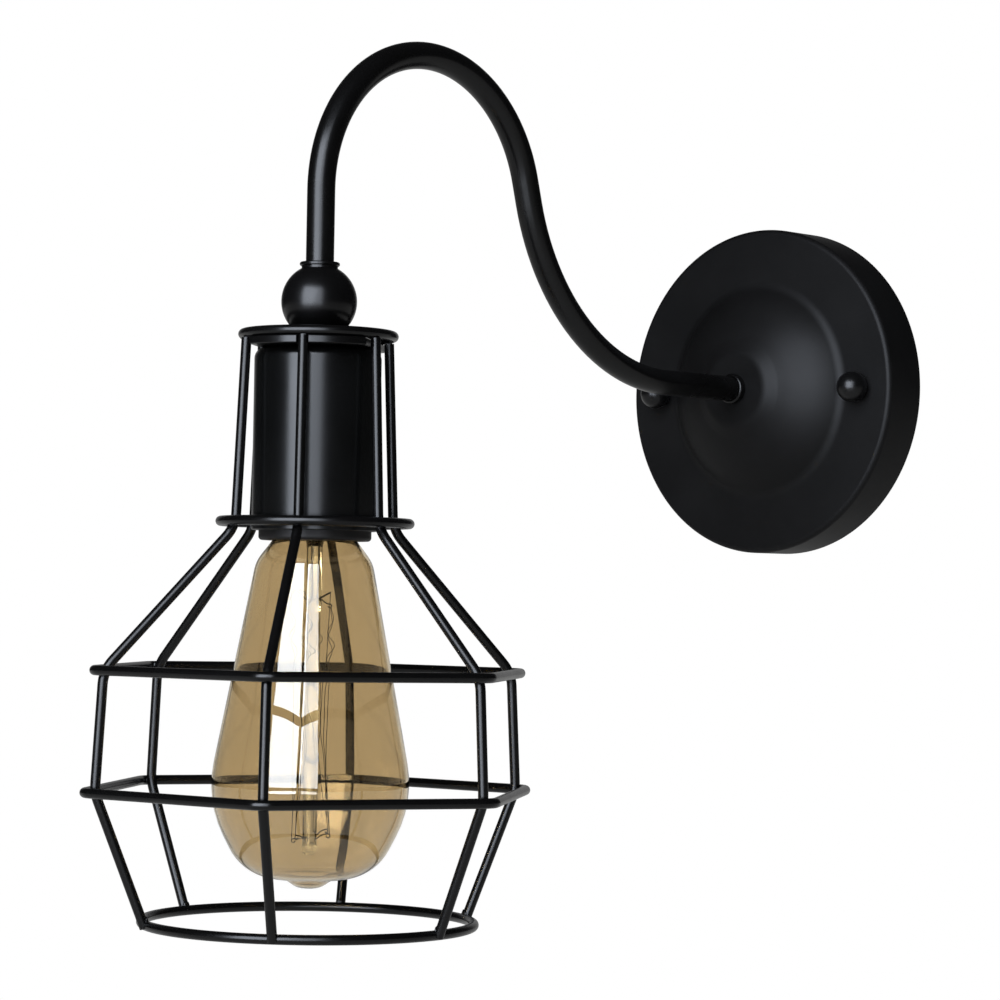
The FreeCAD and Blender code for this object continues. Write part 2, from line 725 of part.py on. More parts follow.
def terminal_screws():
    screws = []
    seat = holder_head_z - terminal_recess
    top = seat + terminal_screw_head_height
    half = terminal_screw_head / 2
    for side in (-1, 1):
        centre = V(side * terminal_offset, terminal_screw_offset, 0)
        shank = Part.makeCylinder(terminal_screw_diameter / 2, terminal_screw_depth,
                                  centre + V(0, 0, seat - terminal_screw_depth))
        head = Part.makeCylinder(half, terminal_screw_head_height, centre + V(0, 0, seat))
        slot = Part.makeBox(terminal_screw_head, terminal_slot_width, terminal_screw_head_height,
                            centre + V(-half, -terminal_slot_width / 2, top - terminal_slot_depth))
        screws.append(shank.fuse(head).removeSplitter().cut(slot))
    return at_head(Part.makeCompound(screws))


bridge_screw_offset = (holder_head_radius + bridge_gap + bridge_thickness + holder_diameter / 2) / 2
holder_washer_z = cup_top_z - cup_wall - bridge_thickness - lock_washer_thickness
parts["socket_cup"] = socket_cup()
parts["holder_bridge"] = holder_bridge()
parts["holder_lock_washer"] = at_head(washer(holder_washer_diameter, holder_washer_z, lock_washer_thickness,
                                             nipple_diameter / 2 + hole_gap))
parts["holder_lock_nut"] = at_head(hexagon_nut(holder_nut_across_flats, holder_washer_z - holder_nut_thickness,
                                               holder_nut_thickness, nipple_diameter / 2 + thread_gap))
parts["holder_body"] = holder_body()
parts["bridge_screws"] = bridge_screws()
parts["screw_shell"] = screw_shell()
parts["centre_contact"] = centre_contact()
parts["holder_terminals"] = holder_terminals()
parts["holder_terminal_screws"] = terminal_screws()


# ---- bulb: tip contact, insulator, cap, glass, stem, supports and filament ----
def bulb_tip():
    low = tip_z - tip_height
    return at_head(turned([(0, low), (tip_radius, low), (tip_radius, tip_z), (0, tip_z)], [0, tip_edge, 0]))


def cap_insulator():
    low = cap_top_z
    high = cap_top_z + cap_insulator_height
    cone = turned([(0, low), (cap_land_radius, low), (tip_radius + insulator_margin, high), (0, high)])
    return at_head(cone)


def bulb_cap():
    line = [V(cap_radius, 0, cap_bottom_z), V(cap_radius, 0, cap_top_z - cap_land_height),
            V(cap_land_radius, 0, cap_top_z), V(cap_hole_radius, 0, cap_top_z)]
    return at_head(spun_sheet(line, [cap_edge, cap_land_edge], cap_wall))


def bulb_glass():
    """Pear-shaped envelope: neck in the cap, shoulder, long cone, round end and sealed tip."""
    shoulder_z = neck_z - shoulder_fall
    corner_z = neck_z - end_corner_fall
    corner_radius = shoulder_radius + (shoulder_z - corner_z) * math.tan(math.radians(cone_slope))
    end_z = corner_z - end_flat_fall
    line = [V(glass_neck_radius, 0, cap_bottom_z + neck_in_cap), V(glass_neck_radius, 0, neck_z),
            V(shoulder_radius, 0, shoulder_z), V(corner_radius, 0, corner_z), V(end_flat_radius, 0, end_z),
            V(0, 0, end_z)]
    envelope = spun_sheet(line, [neck_fillet, shoulder_fillet, end_corner_fillet, end_fillet], -glass_wall)
    root_z = end_z + glass_wall / 2
    tip_z = end_z - tip_off_length
    tip = turned([(0, root_z), (tip_off_foot, root_z), (tip_off_radius, end_z - tip_off_neck),
                  (tip_off_end_radius, tip_z), (0, tip_z)], [0, tip_off_fillet, tip_off_edge, 0])
    return at_head(envelope.fuse(tip).removeSplitter())


def bulb_leads(swell=0.0):
    """Two wires, from the cap down through the stem to the two ends of the filament."""
    leads = []
    turns = filament_points()
    for side, turn in ((1, turns[0]), (-1, turns[-1])):
        top = V(side * lead_offset, 0, cap_top_z - cap_wall - lead_cap_gap)
        knee = V(side * lead_offset, 0, neck_z - stem_fall - lead_knee_fall)
        end = turn + V(0, 0, lead_rise)
        leads.append(tube_along(path_edges([top, knee, end], [lead_bend]), lead_wire / 2 + swell))
    return Part.makeCompound(leads)


def bulb_stem():
    """Flared glass stem with the thin rod that carries the supports, and the button at its end."""
    seal_z = neck_z - stem_fall
    flare_radius = glass_neck_radius - glass_wall - stem_flare_gap
    flare = turned([(0, neck_z + stem_flare_height), (flare_radius, neck_z + stem_flare_height),
                    (stem_radius, neck_z - stem_taper_fall), (stem_radius, seal_z), (0, seal_z)],
                   [0, stem_taper_fillet, stem_end_fillet, 0])
    rod_end = neck_z - lower_hook_fall - rod_tail
    rod = Part.makeCylinder(rod_radius, seal_z - rod_end, V(0, 0, rod_end))
    button = Part.makeSphere(button_radius, V(0, 0, rod_end))
    stem = flare.fuse([rod, button]).removeSplitter()
    return at_head(stem.cut(bulb_leads(thread_gap).Solids))


def thin_rod(start, end, diameter):
    run = end - start
    return Part.makeCylinder(diameter / 2, run.Length, start, run)


def hook_place(index, radius, fall, half_step):
    angle = math.radians(360 / hook_count * (index + half_step))
    return V(radius * math.cos(angle), radius * math.sin(angle), neck_z - fall)


def bulb_supports():
    """Two rings of fine hooks on the rod, above and below, that hold the filament's turns."""
    hooks = []
    for index in range(hook_count):
        for end in (hook_place(index, upper_hook_radius, upper_hook_fall, 0),
                    hook_place(index, lower_hook_radius, lower_hook_fall, 0.5)):
            root = V(end.x, end.y, 0).normalize() * (rod_radius + thread_gap) + V(0, 0, end.z)
            hooks.append(thin_rod(root, end, support_wire))
    return at_head(Part.makeCompound(hooks))


def filament_points():
    """Turning points of the filament, round the tips of the upper and lower hooks in turn."""
    beyond = filament_wire / 2 + thread_gap
    points = []
    for index in range(hook_count):
        points.append(hook_place(index, upper_hook_radius + beyond, upper_hook_fall, 0))
        points.append(hook_place(index, lower_hook_radius + beyond, lower_hook_fall, 0.5))
    return points[:-1]


def bulb_filament():
    """One fine wire that runs down and up between the upper and the lower hooks."""
    points = filament_points()
    solid = Part.makeSphere(filament_wire / 2, points[0])
    pieces = []
    for start, end in zip(points, points[1:]):
        pieces += [thin_rod(start, end, filament_wire), Part.makeSphere(filament_wire / 2, end)]
    return at_head(solid.fuse(pieces).removeSplitter())


parts["bulb_tip_contact"] = bulb_tip()
parts["bulb_cap_insulator"] = cap_insulator()
parts["bulb_cap"] = bulb_cap()
parts["bulb_glass"] = bulb_glass()
parts["bulb_stem"] = bulb_stem()
parts["bulb_leads"] = at_head(bulb_leads())
parts["bulb_supports"] = bulb_supports()
parts["bulb_filament"] = bulb_filament()


# ---- wiring: two cores through the arm, terminal block and earth wire ----
block_top_z = -block_drop
block_front_depth = block_back_gap + block_depth
block_middle_depth = block_back_gap + block_depth / 2


def lead_core(side):
    """Insulated core from the terminal block, through the arm and nipple, to the lampholder."""
    points, radii = arm_line(side * core_offset)
    wall_start = points[0] + V(0, core_tube_overhang, 0)
    entry = V(side * block_pitch, -block_middle_depth, block_top_z)
    over = V(side * core_offset, head_y, cup_top_z - cup_wall - nipple_reach_down - core_nipple_overhang)
    above = V(side * terminal_offset, head_y - terminal_core_offset, holder_head_z + core_over_terminal)
    landing = above - V(0, 0, core_over_terminal + core_in_terminal)
    route = [entry, entry + V(0, 0, core_rise), wall_start] + points[1:-1] + [over, above, landing]
    bends = [core_bend] * 2 + radii + [core_bend / 2] * 2
    return tube_along(path_edges(route, bends), core_diameter / 2)


def terminal_block():
    width = block_pitch * (block_poles - 1) + block_width
    block = Part.makeBox(width, block_depth, block_height,
                         V(-width / 2, -block_front_depth, block_top_z - block_height))
    block = block.makeFillet(block_corner, [edge for edge in block.Edges
                                            if abs(edge.Length - block_depth) < 1e-6])
    for pole in range(block_poles):
        x = (pole - (block_poles - 1) / 2) * block_pitch
        place = V(x, -block_front_depth, block_top_z - block_screw_drop)
        block = block.cut(Part.makeCylinder(block_screw_diameter / 2 + block_screw_gap,
                                            block_screw_sink + block_screw_length, place, V(0, 1, 0)))
    return block


def terminal_block_screws():
    screws = []
    for pole in range(block_poles):
        x = (pole - (block_poles - 1) / 2) * block_pitch
        screws.append(Part.makeCylinder(block_screw_diameter / 2, block_screw_length,
                                        V(x, -block_front_depth + block_screw_sink,
                                          block_top_z - block_screw_drop), V(0, 1, 0)))
    return Part.makeCompound(screws)


def earth_core():
    """Short earth wire, from the block's middle pole to under the earth screw's head."""
    radius = core_diameter / 2
    beside = earth_screw_diameter / 2 + radius + clamp_gap
    clamped_y = -(bracket_thickness + radius + clamp_gap)
    entry = V(0, -block_middle_depth, block_top_z)
    route = [entry, entry + V(0, 0, earth_core_rise), V(-earth_core_side, clamped_y, -beside),
             V(-earth_screw_offset - earth_core_end, clamped_y, -beside)]
    return tube_along(path_edges(route, [earth_core_bend, earth_core_clamp_bend]), radius)


parts["live_core"] = lead_core(-1)
parts["neutral_core"] = lead_core(1)
parts["earth_core"] = earth_core()
parts["terminal_block"] = terminal_block()
parts["terminal_block_screws"] = terminal_block_screws()

# ---- write one file for each piece ----
os.makedirs("parts", exist_ok=True)
for name, shape in parts.items():
    shape.exportStep("parts/%s.step" % name)
    print(name, "solids", len(shape.Solids), "valid", shape.isValid(), "volume", round(shape.Volume, 1))
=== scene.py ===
import math

import bmesh
import bpy
from mathutils import Euler, Matrix, Vector


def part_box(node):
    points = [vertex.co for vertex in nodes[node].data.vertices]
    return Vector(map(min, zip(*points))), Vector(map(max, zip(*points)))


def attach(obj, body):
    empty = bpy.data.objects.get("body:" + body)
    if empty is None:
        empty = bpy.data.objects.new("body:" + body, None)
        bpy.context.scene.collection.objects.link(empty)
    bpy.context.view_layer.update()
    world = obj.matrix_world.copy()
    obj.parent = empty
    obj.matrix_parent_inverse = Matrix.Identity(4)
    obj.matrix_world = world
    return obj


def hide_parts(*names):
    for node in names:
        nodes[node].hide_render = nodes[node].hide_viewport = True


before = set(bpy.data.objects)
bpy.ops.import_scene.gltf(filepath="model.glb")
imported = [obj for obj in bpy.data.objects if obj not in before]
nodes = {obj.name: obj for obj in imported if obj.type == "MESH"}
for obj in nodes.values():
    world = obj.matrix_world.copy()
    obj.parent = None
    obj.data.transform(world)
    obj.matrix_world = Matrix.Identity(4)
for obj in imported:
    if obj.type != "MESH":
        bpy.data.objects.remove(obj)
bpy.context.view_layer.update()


# ---- Wall bracket, studs and earth screw ----
# A stamped steel crossbar that is screwed to the wall box, bright zinc plated. Two threaded studs
# stand out of it for the ball nuts, and a brass screw on it takes the earth wire.
def linear(colour):
    """An sRGB hex colour as the linear numbers that a shader takes."""
    parts = [int(colour[i:i + 2], 16) / 255 for i in (1, 3, 5)]
    return tuple(p / 12.92 if p <= 0.04045 else ((p + 0.055) / 1.055) ** 2.4 for p in parts) + (1.0,)


def put(tree, kind, inputs=None, **settings):
    """Adds a node with its settings, and fills its inputs with values or links."""
    node = tree.nodes.new(kind)
    for name, value in settings.items():
        setattr(node, name, value)
    for name, value in (inputs or {}).items():
        if isinstance(value, bpy.types.NodeSocket):
            tree.links.new(value, node.inputs[name])
        else:
            node.inputs[name].default_value = value
    return node


def maths(tree, operation, *values):
    """One sum with numbers or links, as a link."""
    return put(tree, "ShaderNodeMath", dict(enumerate(values)), operation=operation).outputs[0]


def new_finish(name, constants):
    """A material with one Principled shader: gives material, tree, Object coordinates and shader."""
    material = bpy.data.materials.new(name)
    material.use_nodes = True
    tree = material.node_tree
    tree.nodes.clear()
    shader = put(tree, "ShaderNodeBsdfPrincipled", constants)
    put(tree, "ShaderNodeOutputMaterial", {"Surface": shader.outputs[0]})
    place = put(tree, "ShaderNodeTexCoord").outputs["Object"]
    return material, tree, place, shader


def vary(tree, place, size, low, high, socket, detail=3.0, seed=0.0):
    """Drives a shader's number between two values by soft clouds of a real size in metres."""
    cloud = put(tree, "ShaderNodeTexNoise", {"Vector": place, "W": seed, "Scale": 1 / size, "Detail": detail},
                noise_dimensions="4D")
    spread = put(tree, "ShaderNodeMapRange", {"Value": cloud.outputs[0], "From Min": 0.3, "From Max": 0.7,
                                              "To Min": low, "To Max": high})
    tree.links.new(spread.outputs[0], socket)


def tint(tree, place, size, first, second, socket, seed=0.0):
    """Mixes two colours by soft clouds of a real size in metres."""
    cloud = put(tree, "ShaderNodeTexNoise", {"Vector": place, "W": seed, "Scale": 1 / size, "Detail": 4.0},
                noise_dimensions="4D")
    spread = put(tree, "ShaderNodeMapRange", {"Value": cloud.outputs[0], "From Min": 0.35, "From Max": 0.65})
    mixed = put(tree, "ShaderNodeMix", {0: spread.outputs[0], 6: linear(first), 7: linear(second)},
                data_type="RGBA")
    tree.links.new(mixed.outputs[2], socket)


def relief(tree, place, size, depth, shader, detail=2.0):
    """A bumpy surface, with bumps of a real size and depth in metres."""
    bumps = put(tree, "ShaderNodeTexNoise", {"Vector": place, "Scale": 1 / size, "Detail": detail})
    bump = put(tree, "ShaderNodeBump", {"Height": bumps.outputs[0], "Distance": depth, "Strength": 1.0})
    tree.links.new(bump.outputs[0], shader.inputs["Normal"])


def clouded(name, constants, patches, sheen, bumps=None):
    """A finish with soft clouds in its colour and roughness, over fine bumps. Each starts with its real
    size: (size, two colours), (size, two roughnesses) and (size, depth)."""
    material, tree, place, shader = new_finish(name, constants)
    tint(tree, place, *patches, shader.inputs["Base Color"])
    vary(tree, place, *sheen, shader.inputs["Roughness"])
    if bumps:
        relief(tree, place, *bumps, shader)
    return material


def zinc_plate():
    """Bright zinc plating on rolled steel: silver with a cool cast, clouded, with a fine rolled grain.
    The grain is about 0.2 mm wide and is drawn at 0.5 mm, so that it shows."""
    return clouded("zinc_plate", {"Metallic": 1.0}, (0.009, "#B9BDC1", "#A3A49C"), (0.004, 0.26, 0.44),
                   (0.0005, 0.00002))


def turned_brass():
    """Turned or rolled yellow brass, left bare: warm, fairly smooth, with a dull film of handling."""
    return clouded("turned_brass", {"Metallic": 1.0}, (0.006, "#D2AE62", "#B08A45"), (0.003, 0.2, 0.38),
                   (0.0006, 0.00001))


def linked(name, data):
    """A new object in the scene, at the origin."""
    thing = bpy.data.objects.new(name, data)
    bpy.context.scene.collection.objects.link(thing)
    return thing


def place_piece(name, mesh, material, body, replaced, crease=35.0):
    """Makes a finished mesh a piece of the lamp, on a body, in the place of some plain nodes."""
    mesh.materials.clear()
    mesh.materials.append(material)
    mesh.shade_smooth()
    mesh.set_sharp_from_angle(angle=math.radians(crease))
    piece = linked(name, mesh)
    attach(piece, body)
    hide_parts(*replaced)
    return piece


def eased(node, edge, material, body, name=None):
    """A pressed or cut piece: the plain node with its hard edges broken by a small bevel."""
    mesh = nodes[node].data.copy()
    soft = bmesh.new()
    soft.from_mesh(mesh)
    bmesh.ops.remove_doubles(soft, verts=soft.verts, dist=1e-6)
    bmesh.ops.dissolve_limit(soft, angle_limit=math.radians(1.0), verts=soft.verts, edges=soft.edges)
    hard = [e for e in soft.edges if len(e.link_faces) == 2 and e.calc_face_angle() > math.radians(40)]
    bmesh.ops.bevel(soft, geom=hard, offset=edge, segments=2, profile=0.6, affect="EDGES", clamp_overlap=True)
    bmesh.ops.triangulate(soft, faces=[f for f in soft.faces if len(f.verts) > 4])
    soft.to_mesh(mesh)
    soft.free()
    return place_piece(name or node + "_piece", mesh, material, body, [node])


def rounded(corners, closed=False):
    """Outline through corners (radius, height, fillet), with each fillet drawn as a fine arc."""
    count = len(corners)
    line = []
    for index, (x, z, fillet) in enumerate(corners):
        corner = Vector((x, z))
        ends = not closed and index in (0, count - 1)
        if ends or fillet == 0:
            line.append(corner)
            continue
        back = (Vector(corners[index - 1][:2]) - corner).normalized()
        ahead = (Vector(corners[(index + 1) % count][:2]) - corner).normalized()
        half_turn = (math.pi - back.angle(ahead)) / 2
        middle = corner + (back + ahead).normalized() * (fillet / math.cos(half_turn))
        start = corner + back * (fillet * math.tan(half_turn)) - middle
        steps = max(2, int(math.degrees(half_turn) / 3))
        turn = start.angle_signed(corner + ahead * (fillet * math.tan(half_turn)) - middle)
        for step in range(steps + 1):
            angle = -turn * step / steps
            line.append(middle + Matrix.Rotation(angle, 2) @ start)
    return [(p.x, p.y) for p in line]


def offset_corners(corners, gap):
    """The same corners moved inwards by a wall's thickness, with their fillets changed to suit."""
    moved = []
    least_fillet = 0.0002
    for index, (x, z, fillet) in enumerate(corners):
        here = Vector((x, z))
        runs = []
        if index > 0:
            runs.append((here - Vector(corners[index - 1][:2])).normalized())
        if index < len(corners) - 1:
            runs.append((Vector(corners[index + 1][:2]) - here).normalized())
        normals = [Vector((run.y, -run.x)) for run in runs]
        total = sum(normals, Vector((0, 0)))
        move = total * (gap * len(normals) / total.length_squared) if len(normals) == 2 else total * gap
        turn = runs[0].cross(runs[-1]) if len(runs) == 2 else 0
        eased_fillet = max(least_fillet, fillet - gap * (-1 if turn > 0 else 1)) if fillet else 0
        moved.append((max(0, x + move.x), z + move.y, eased_fillet))
    return moved


def dense(line, step):
    """The same outline, with no run longer than a step."""
    fine = []
    for (r0, z0), (r1, z1) in zip(line, line[1:]):
        parts = max(1, round(math.hypot(r1 - r0, z1 - z0) / step))
        fine += [(r0 + (r1 - r0) * k / parts, z0 + (z1 - z0) * k / parts) for k in range(parts)]
    return fine + [line[-1]]


def thread_wave(height, angle, pitch):
    """Height of a rounded right-hand thread, from 0 in the groove to 1 on the crest."""
    return 0.5 + 0.5 * math.cos(2 * math.pi * (height / pitch - angle / (2 * math.pi)))


def outwards(mesh):
    """The same mesh, with every face turned outwards."""
    whole = bmesh.new()
    whole.from_mesh(mesh)
    bmesh.ops.recalc_face_normals(whole, faces=whole.faces)
    whole.to_mesh(mesh)
    whole.free()
    return mesh


def lathed(name, line, around=96, cut=None):
    """A body of revolution about Z. cut(radius, height, angle) may carve a thread or ribs into it."""
    mesh = bpy.data.meshes.new(name)
    points, rings = [], []
    for r, z in line:
        if r < 1e-7:
            rings.append([len(points)] * around)
            points.append((0, 0, z))
            continue
        rings.append(list(range(len(points), len(points) + around)))
        for k in range(around):
            angle = 2 * math.pi * k / around
            radius = cut(r, z, angle) if cut else r
            points.append((radius * math.cos(angle), radius * math.sin(angle), z))
    pairs = list(zip(rings, rings[1:]))
    if line[0][0] > 1e-7:
        pairs.append((rings[-1], rings[0]))
    faces = []
    for low, high in pairs:
        for k in range(around):
            n = (k + 1) % around
            loop = [low[k], low[n], high[n], high[k]]
            faces.append([v for i, v in enumerate(loop) if v != loop[i - 1]])
    mesh.from_pydata(points, [], [f for f in faces if len(f) > 2])
    return outwards(mesh)


def joined(name, meshes):
    """Several meshes as one."""
    whole = bmesh.new()
    for mesh in meshes:
        whole.from_mesh(mesh)
    result = bpy.data.meshes.new(name)
    whole.to_mesh(result)
    whole.free()
    return result


zinc = zinc_plate()
brass = turned_brass()
out_of_wall = Matrix.Rotation(math.radians(90), 4, "X")
stud_low, stud_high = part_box("bracket_studs")
stud_radius = stud_high.z
stud_offset = stud_high.x - stud_radius


def pair(name, mesh, depth):
    """A turned part twice in one mesh, standing out of the wall on the studs' axes at a depth."""
    copies = []
    for side in (-1, 1):
        copies.append(mesh.copy())
        copies[-1].transform(Matrix.Translation((side * stud_offset, -depth, 0)) @ out_of_wall)
    return joined(name, copies)


def threaded_rod(name, low, high, radius, end_radius, pitch, depth, step, around, bored=False):
    """A turned rod with chamfered ends and a cut thread. A bored one is open at its end faces' radius."""
    def groove(r, height, angle):
        return r - (depth * (1 - thread_wave(height, angle, pitch)) if r > end_radius else 0)

    chamfer = 0.0003
    line = [(end_radius, low)] + dense([(radius, low + chamfer), (radius, high - chamfer)], step)
    line += [(end_radius, high)]
    return lathed(name, line if bored else [(0, low)] + line + [(0, high)], around, groove)


stud = threaded_rod("stud", 0, -stud_low.y, stud_radius, end_radius=0.0014, pitch=0.0007, depth=0.00035,
                    step=0.00012, around=32)
place_piece("threaded_studs", pair("threaded_studs", stud, 0), zinc, "fixture",
            ["bracket_studs"])
eased("wall_bracket", 0.0002, zinc, "fixture", "stamped_bracket")
eased("earth_screw", 0.00015, brass, "fixture", "earth_screw_turned")


# ---- Canopy ----
# A cup of 1 mm steel spun on a lathe: rim, flat ring, dome and small boss, then powder coated satin
# black. Two ball nuts hold it on the studs, over two hidden holes that aren't drawn.
def powder_coat(name, dark, light, roughness, peel_depth, specular=0.2):
    """Black epoxy powder, baked on: deep black with a soft sheen, a faint orange peel of about 1.5 mm
    and cloudy patches a few centimetres wide where the film is smoother."""
    material, tree, place, shader = new_finish(name, {"IOR": 1.5, "Specular IOR Level": specular})
    tint(tree, place, 0.035, dark, light, shader.inputs["Base Color"])
    vary(tree, place, 0.022, roughness - 0.035, roughness + 0.035, shader.inputs["Roughness"],
         detail=5.0, seed=3.0)
    relief(tree, place, 0.0015, peel_depth, shader)
    return material


canopy_coat = powder_coat("canopy_powder_coat", "#0C0C0D", "#121213", 0.46, 0.000012, 0.085)
canopy_low, canopy_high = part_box("canopy")
canopy_radius = canopy_high.x
canopy_wall = 0.001
rim_depth = 0.0185
foot_radius = 0.0385
flank_radius = 0.0335
flank_depth = rim_depth + (foot_radius - flank_radius) * math.tan(math.radians(45))
middle_radius = 0.024
middle_depth = flank_depth + (flank_radius - middle_radius) * math.tan(math.radians(28))
boss_foot = 0.0185
boss_face = 0.0135
boss_height = 0.0024
face_depth = -canopy_low.y
arm_radius = 0.0045
# Each corner is a radius, a depth in front of the wall and a fillet.
canopy_corners = [
    (canopy_radius, 0, 0), (canopy_radius, rim_depth, 0.002), (foot_radius, rim_depth, 0.006),
    (flank_radius, flank_depth, 0.028), (middle_radius, middle_depth, 0.036),
    (boss_foot, face_depth - boss_height, 0.009), (boss_face, face_depth, 0.007),
    (arm_radius + 0.0002, face_depth, 0)]
inner_skin = rounded(offset_corners(canopy_corners, -canopy_wall))
canopy = lathed("canopy_spun", rounded(canopy_corners) + inner_skin[::-1], 256)
canopy.transform(out_of_wall)
place_piece("canopy_spun", canopy, canopy_coat, "fixture", ["canopy"])


# ---- Ball nuts ----
# Two round blind nuts, turned from steel bar and coated like the canopy, are screwed on the studs by
# hand. Each has a short cylindrical neck under the ball, which seats on the canopy's flat ring.
def ball_arc(radius, middle, first, last, steps):
    """Points (radius, height) on a ball's outline, between two angles from its top."""
    angles = [first + (last - first) * k / steps for k in range(steps + 1)]
    return [(radius * math.sin(a), middle + radius * math.cos(a)) for a in angles]


trim_coat = powder_coat("trim_powder_coat", "#09090A", "#0E0E0F", 0.26, 0.000006)
nut_low, nut_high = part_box("ball_nuts")
nut_radius = nut_high.z
nut_neck = 0.0045
nut_edge = 0.0002
nut_height = -nut_low.y - rim_depth
nut_centre = nut_height - nut_radius
neck_drop = math.sqrt(nut_radius ** 2 - nut_neck ** 2)
neck_angle = math.asin(nut_neck / nut_radius)
nut_line = [(0, 0), (nut_neck - nut_edge, 0), (nut_neck, nut_edge), (nut_neck, nut_centre - neck_drop)]
nut_line += ball_arc(nut_radius, nut_centre, math.pi - neck_angle, 0, 28)[1:-1]
nut = lathed("ball_nut", nut_line + [(0, nut_height)], 64)
place_piece("turned_ball_nuts", pair("turned_ball_nuts", nut, rim_depth), trim_coat, "fixture",
            ["ball_nuts"])


# ---- Arm ----
# A 9 mm steel tube bent on a former: level out of the wall, up through one long bend and over the top
# in a half circle, then straight down into the ball. Its threaded tail goes through the canopy's boss.
def bent_line(points, radii, step=4.0):
    """Points along straight runs joined by tangent arcs, a few degrees apart on the arcs."""
    line = [points[0]]
    for index, radius in enumerate(radii, start=1):
        corner = points[index]
        back = (points[index - 1] - corner).normalized()
        ahead = (points[(index + 1) % len(points)] - corner).normalized()
        half_turn = (math.pi - back.angle(ahead)) / 2
        middle = corner + (back + ahead).normalized() * (radius / math.cos(half_turn))
        start = corner + back * (radius * math.tan(half_turn)) - middle
        axis = back.cross(ahead).normalized()
        steps = max(2, round(math.degrees(2 * half_turn) / step))
        for k in range(steps + 1):
            line.append(middle + Matrix.Rotation(-2 * half_turn * k / steps, 3, axis) @ start)
    return line + [points[-1]]


def named_inputs(tree, sockets, result):
    """Gives a Geometry Nodes tree its start line, its named inputs and its result."""
    face = tree.interface
    face.new_socket("Line", in_out="INPUT", socket_type="NodeSocketGeometry")
    for name, kind in sockets + [("Copies", "Int"), ("First turn", "Float"), ("Centre", "Vector"),
                                 ("Finish", "Material")]:
        face.new_socket(name, in_out="INPUT", socket_type="NodeSocket" + kind)
    face.new_socket(result, in_out="OUTPUT", socket_type="NodeSocketGeometry")
    return put(tree, "NodeGroupInput").outputs


def copied_round(tree, given, shape):
    """Ends a Geometry Nodes tree: the shape is copied evenly round the Z axis, made real and finished."""
    spots = put(tree, "GeometryNodeMeshLine", {"Count": given["Copies"], "Offset": (0, 0, 0)})
    number = put(tree, "GeometryNodeInputIndex")
    share = maths(tree, "DIVIDE", 2 * math.pi, given["Copies"])
    turn = maths(tree, "MULTIPLY_ADD", number.outputs[0], share, given["First turn"])
    spin = put(tree, "ShaderNodeCombineXYZ", {"Z": turn})
    copies = put(tree, "GeometryNodeInstanceOnPoints", {
        "Points": spots.outputs[0], "Instance": shape.outputs[0], "Rotation": spin.outputs[0]})
    real = put(tree, "GeometryNodeRealizeInstances", {0: copies.outputs[0]})
    moved = put(tree, "GeometryNodeTransform", {"Geometry": real.outputs[0], "Translation": given["Centre"]})
    dressed = put(tree, "GeometryNodeSetMaterial", {"Geometry": moved.outputs[0],
                                                    "Material": given["Finish"]})
    put(tree, "NodeGroupOutput", {0: dressed.outputs[0]})
    return tree


def bar_tree():
    """Geometry Nodes: a round bar along a line of edges, copied evenly round the Z axis."""
    tree = bpy.data.node_groups.new("drawn_bar", "GeometryNodeTree")
    given = named_inputs(tree, [("Diameter", "Float"), ("Sides", "Int")], "Bars")
    line = put(tree, "GeometryNodeMeshToCurve", {0: given["Line"]})
    half = maths(tree, "MULTIPLY", given["Diameter"], 0.5)
    section = put(tree, "GeometryNodeCurvePrimitiveCircle", {"Resolution": given["Sides"], "Radius": half})
    bar = put(tree, "GeometryNodeCurveToMesh", {"Curve": line.outputs[0], "Profile Curve": section.outputs[0],
                                                "Fill Caps": True})
    return copied_round(tree, given, bar)


def grown(name, tree, start, **sizes):
    """The plain mesh that a Geometry Nodes tree makes from a start mesh and named sizes."""
    seed = linked(name + "_start", start)
    modifier = seed.modifiers.new("grow", "NODES")
    modifier.node_group = tree
    for item in tree.interface.items_tree:
        key = item.name.replace(" ", "_")
        if item.in_out == "INPUT" and key in sizes:
            modifier[item.identifier] = sizes[key]
    graph = bpy.context.evaluated_depsgraph_get()
    mesh = bpy.data.meshes.new_from_object(seed.evaluated_get(graph))
    bpy.data.objects.remove(seed)
    mesh.name = name
    return outwards(mesh)


def edge_line(points, closed=False):
    """A mesh of edges through points."""
    mesh = bpy.data.meshes.new("line")
    links = [(k, k + 1) for k in range(len(points) - 1)] + ([(len(points) - 1, 0)] if closed else [])
    mesh.from_pydata([tuple(p) for p in points], links, [])
    return mesh


drawn_bar = bar_tree()
cage_coat = powder_coat("cage_powder_coat", "#070707", "#0B0B0C", 0.25, 0.000004)
arm_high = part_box("arm_tube")[1]
cup_low, cup_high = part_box("socket_cup")
head_y = (cup_low.y + cup_high.y) / 2
crown_radius = 0.0493
lower_radius = 0.0775
fall = math.radians(74.5)
arm_socket = 0.0095
arm_top = arm_high.z - arm_radius
crown_corner = head_y + crown_radius + crown_radius * math.tan(fall / 2)
lower_corner = crown_corner + arm_top / math.tan(fall)
ball_low, ball_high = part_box("ball_coupling")
arm_points = [Vector((0, arm_high.y, 0)), Vector((0, lower_corner, 0)), Vector((0, crown_corner, arm_top)),
              Vector((0, head_y, arm_top)), Vector((0, head_y, ball_high.z - arm_socket))]
arm_line = bent_line(arm_points, [lower_radius, crown_radius, crown_radius], 2.5)
arm = grown("bent_arm", drawn_bar, edge_line(arm_line), Diameter=2 * arm_radius, Sides=64, Copies=1,
            First_turn=0.0, Centre=(0.0, 0.0, 0.0), Finish=cage_coat)
place_piece("bent_arm", arm, cage_coat, "fixture", ["arm_tube"])


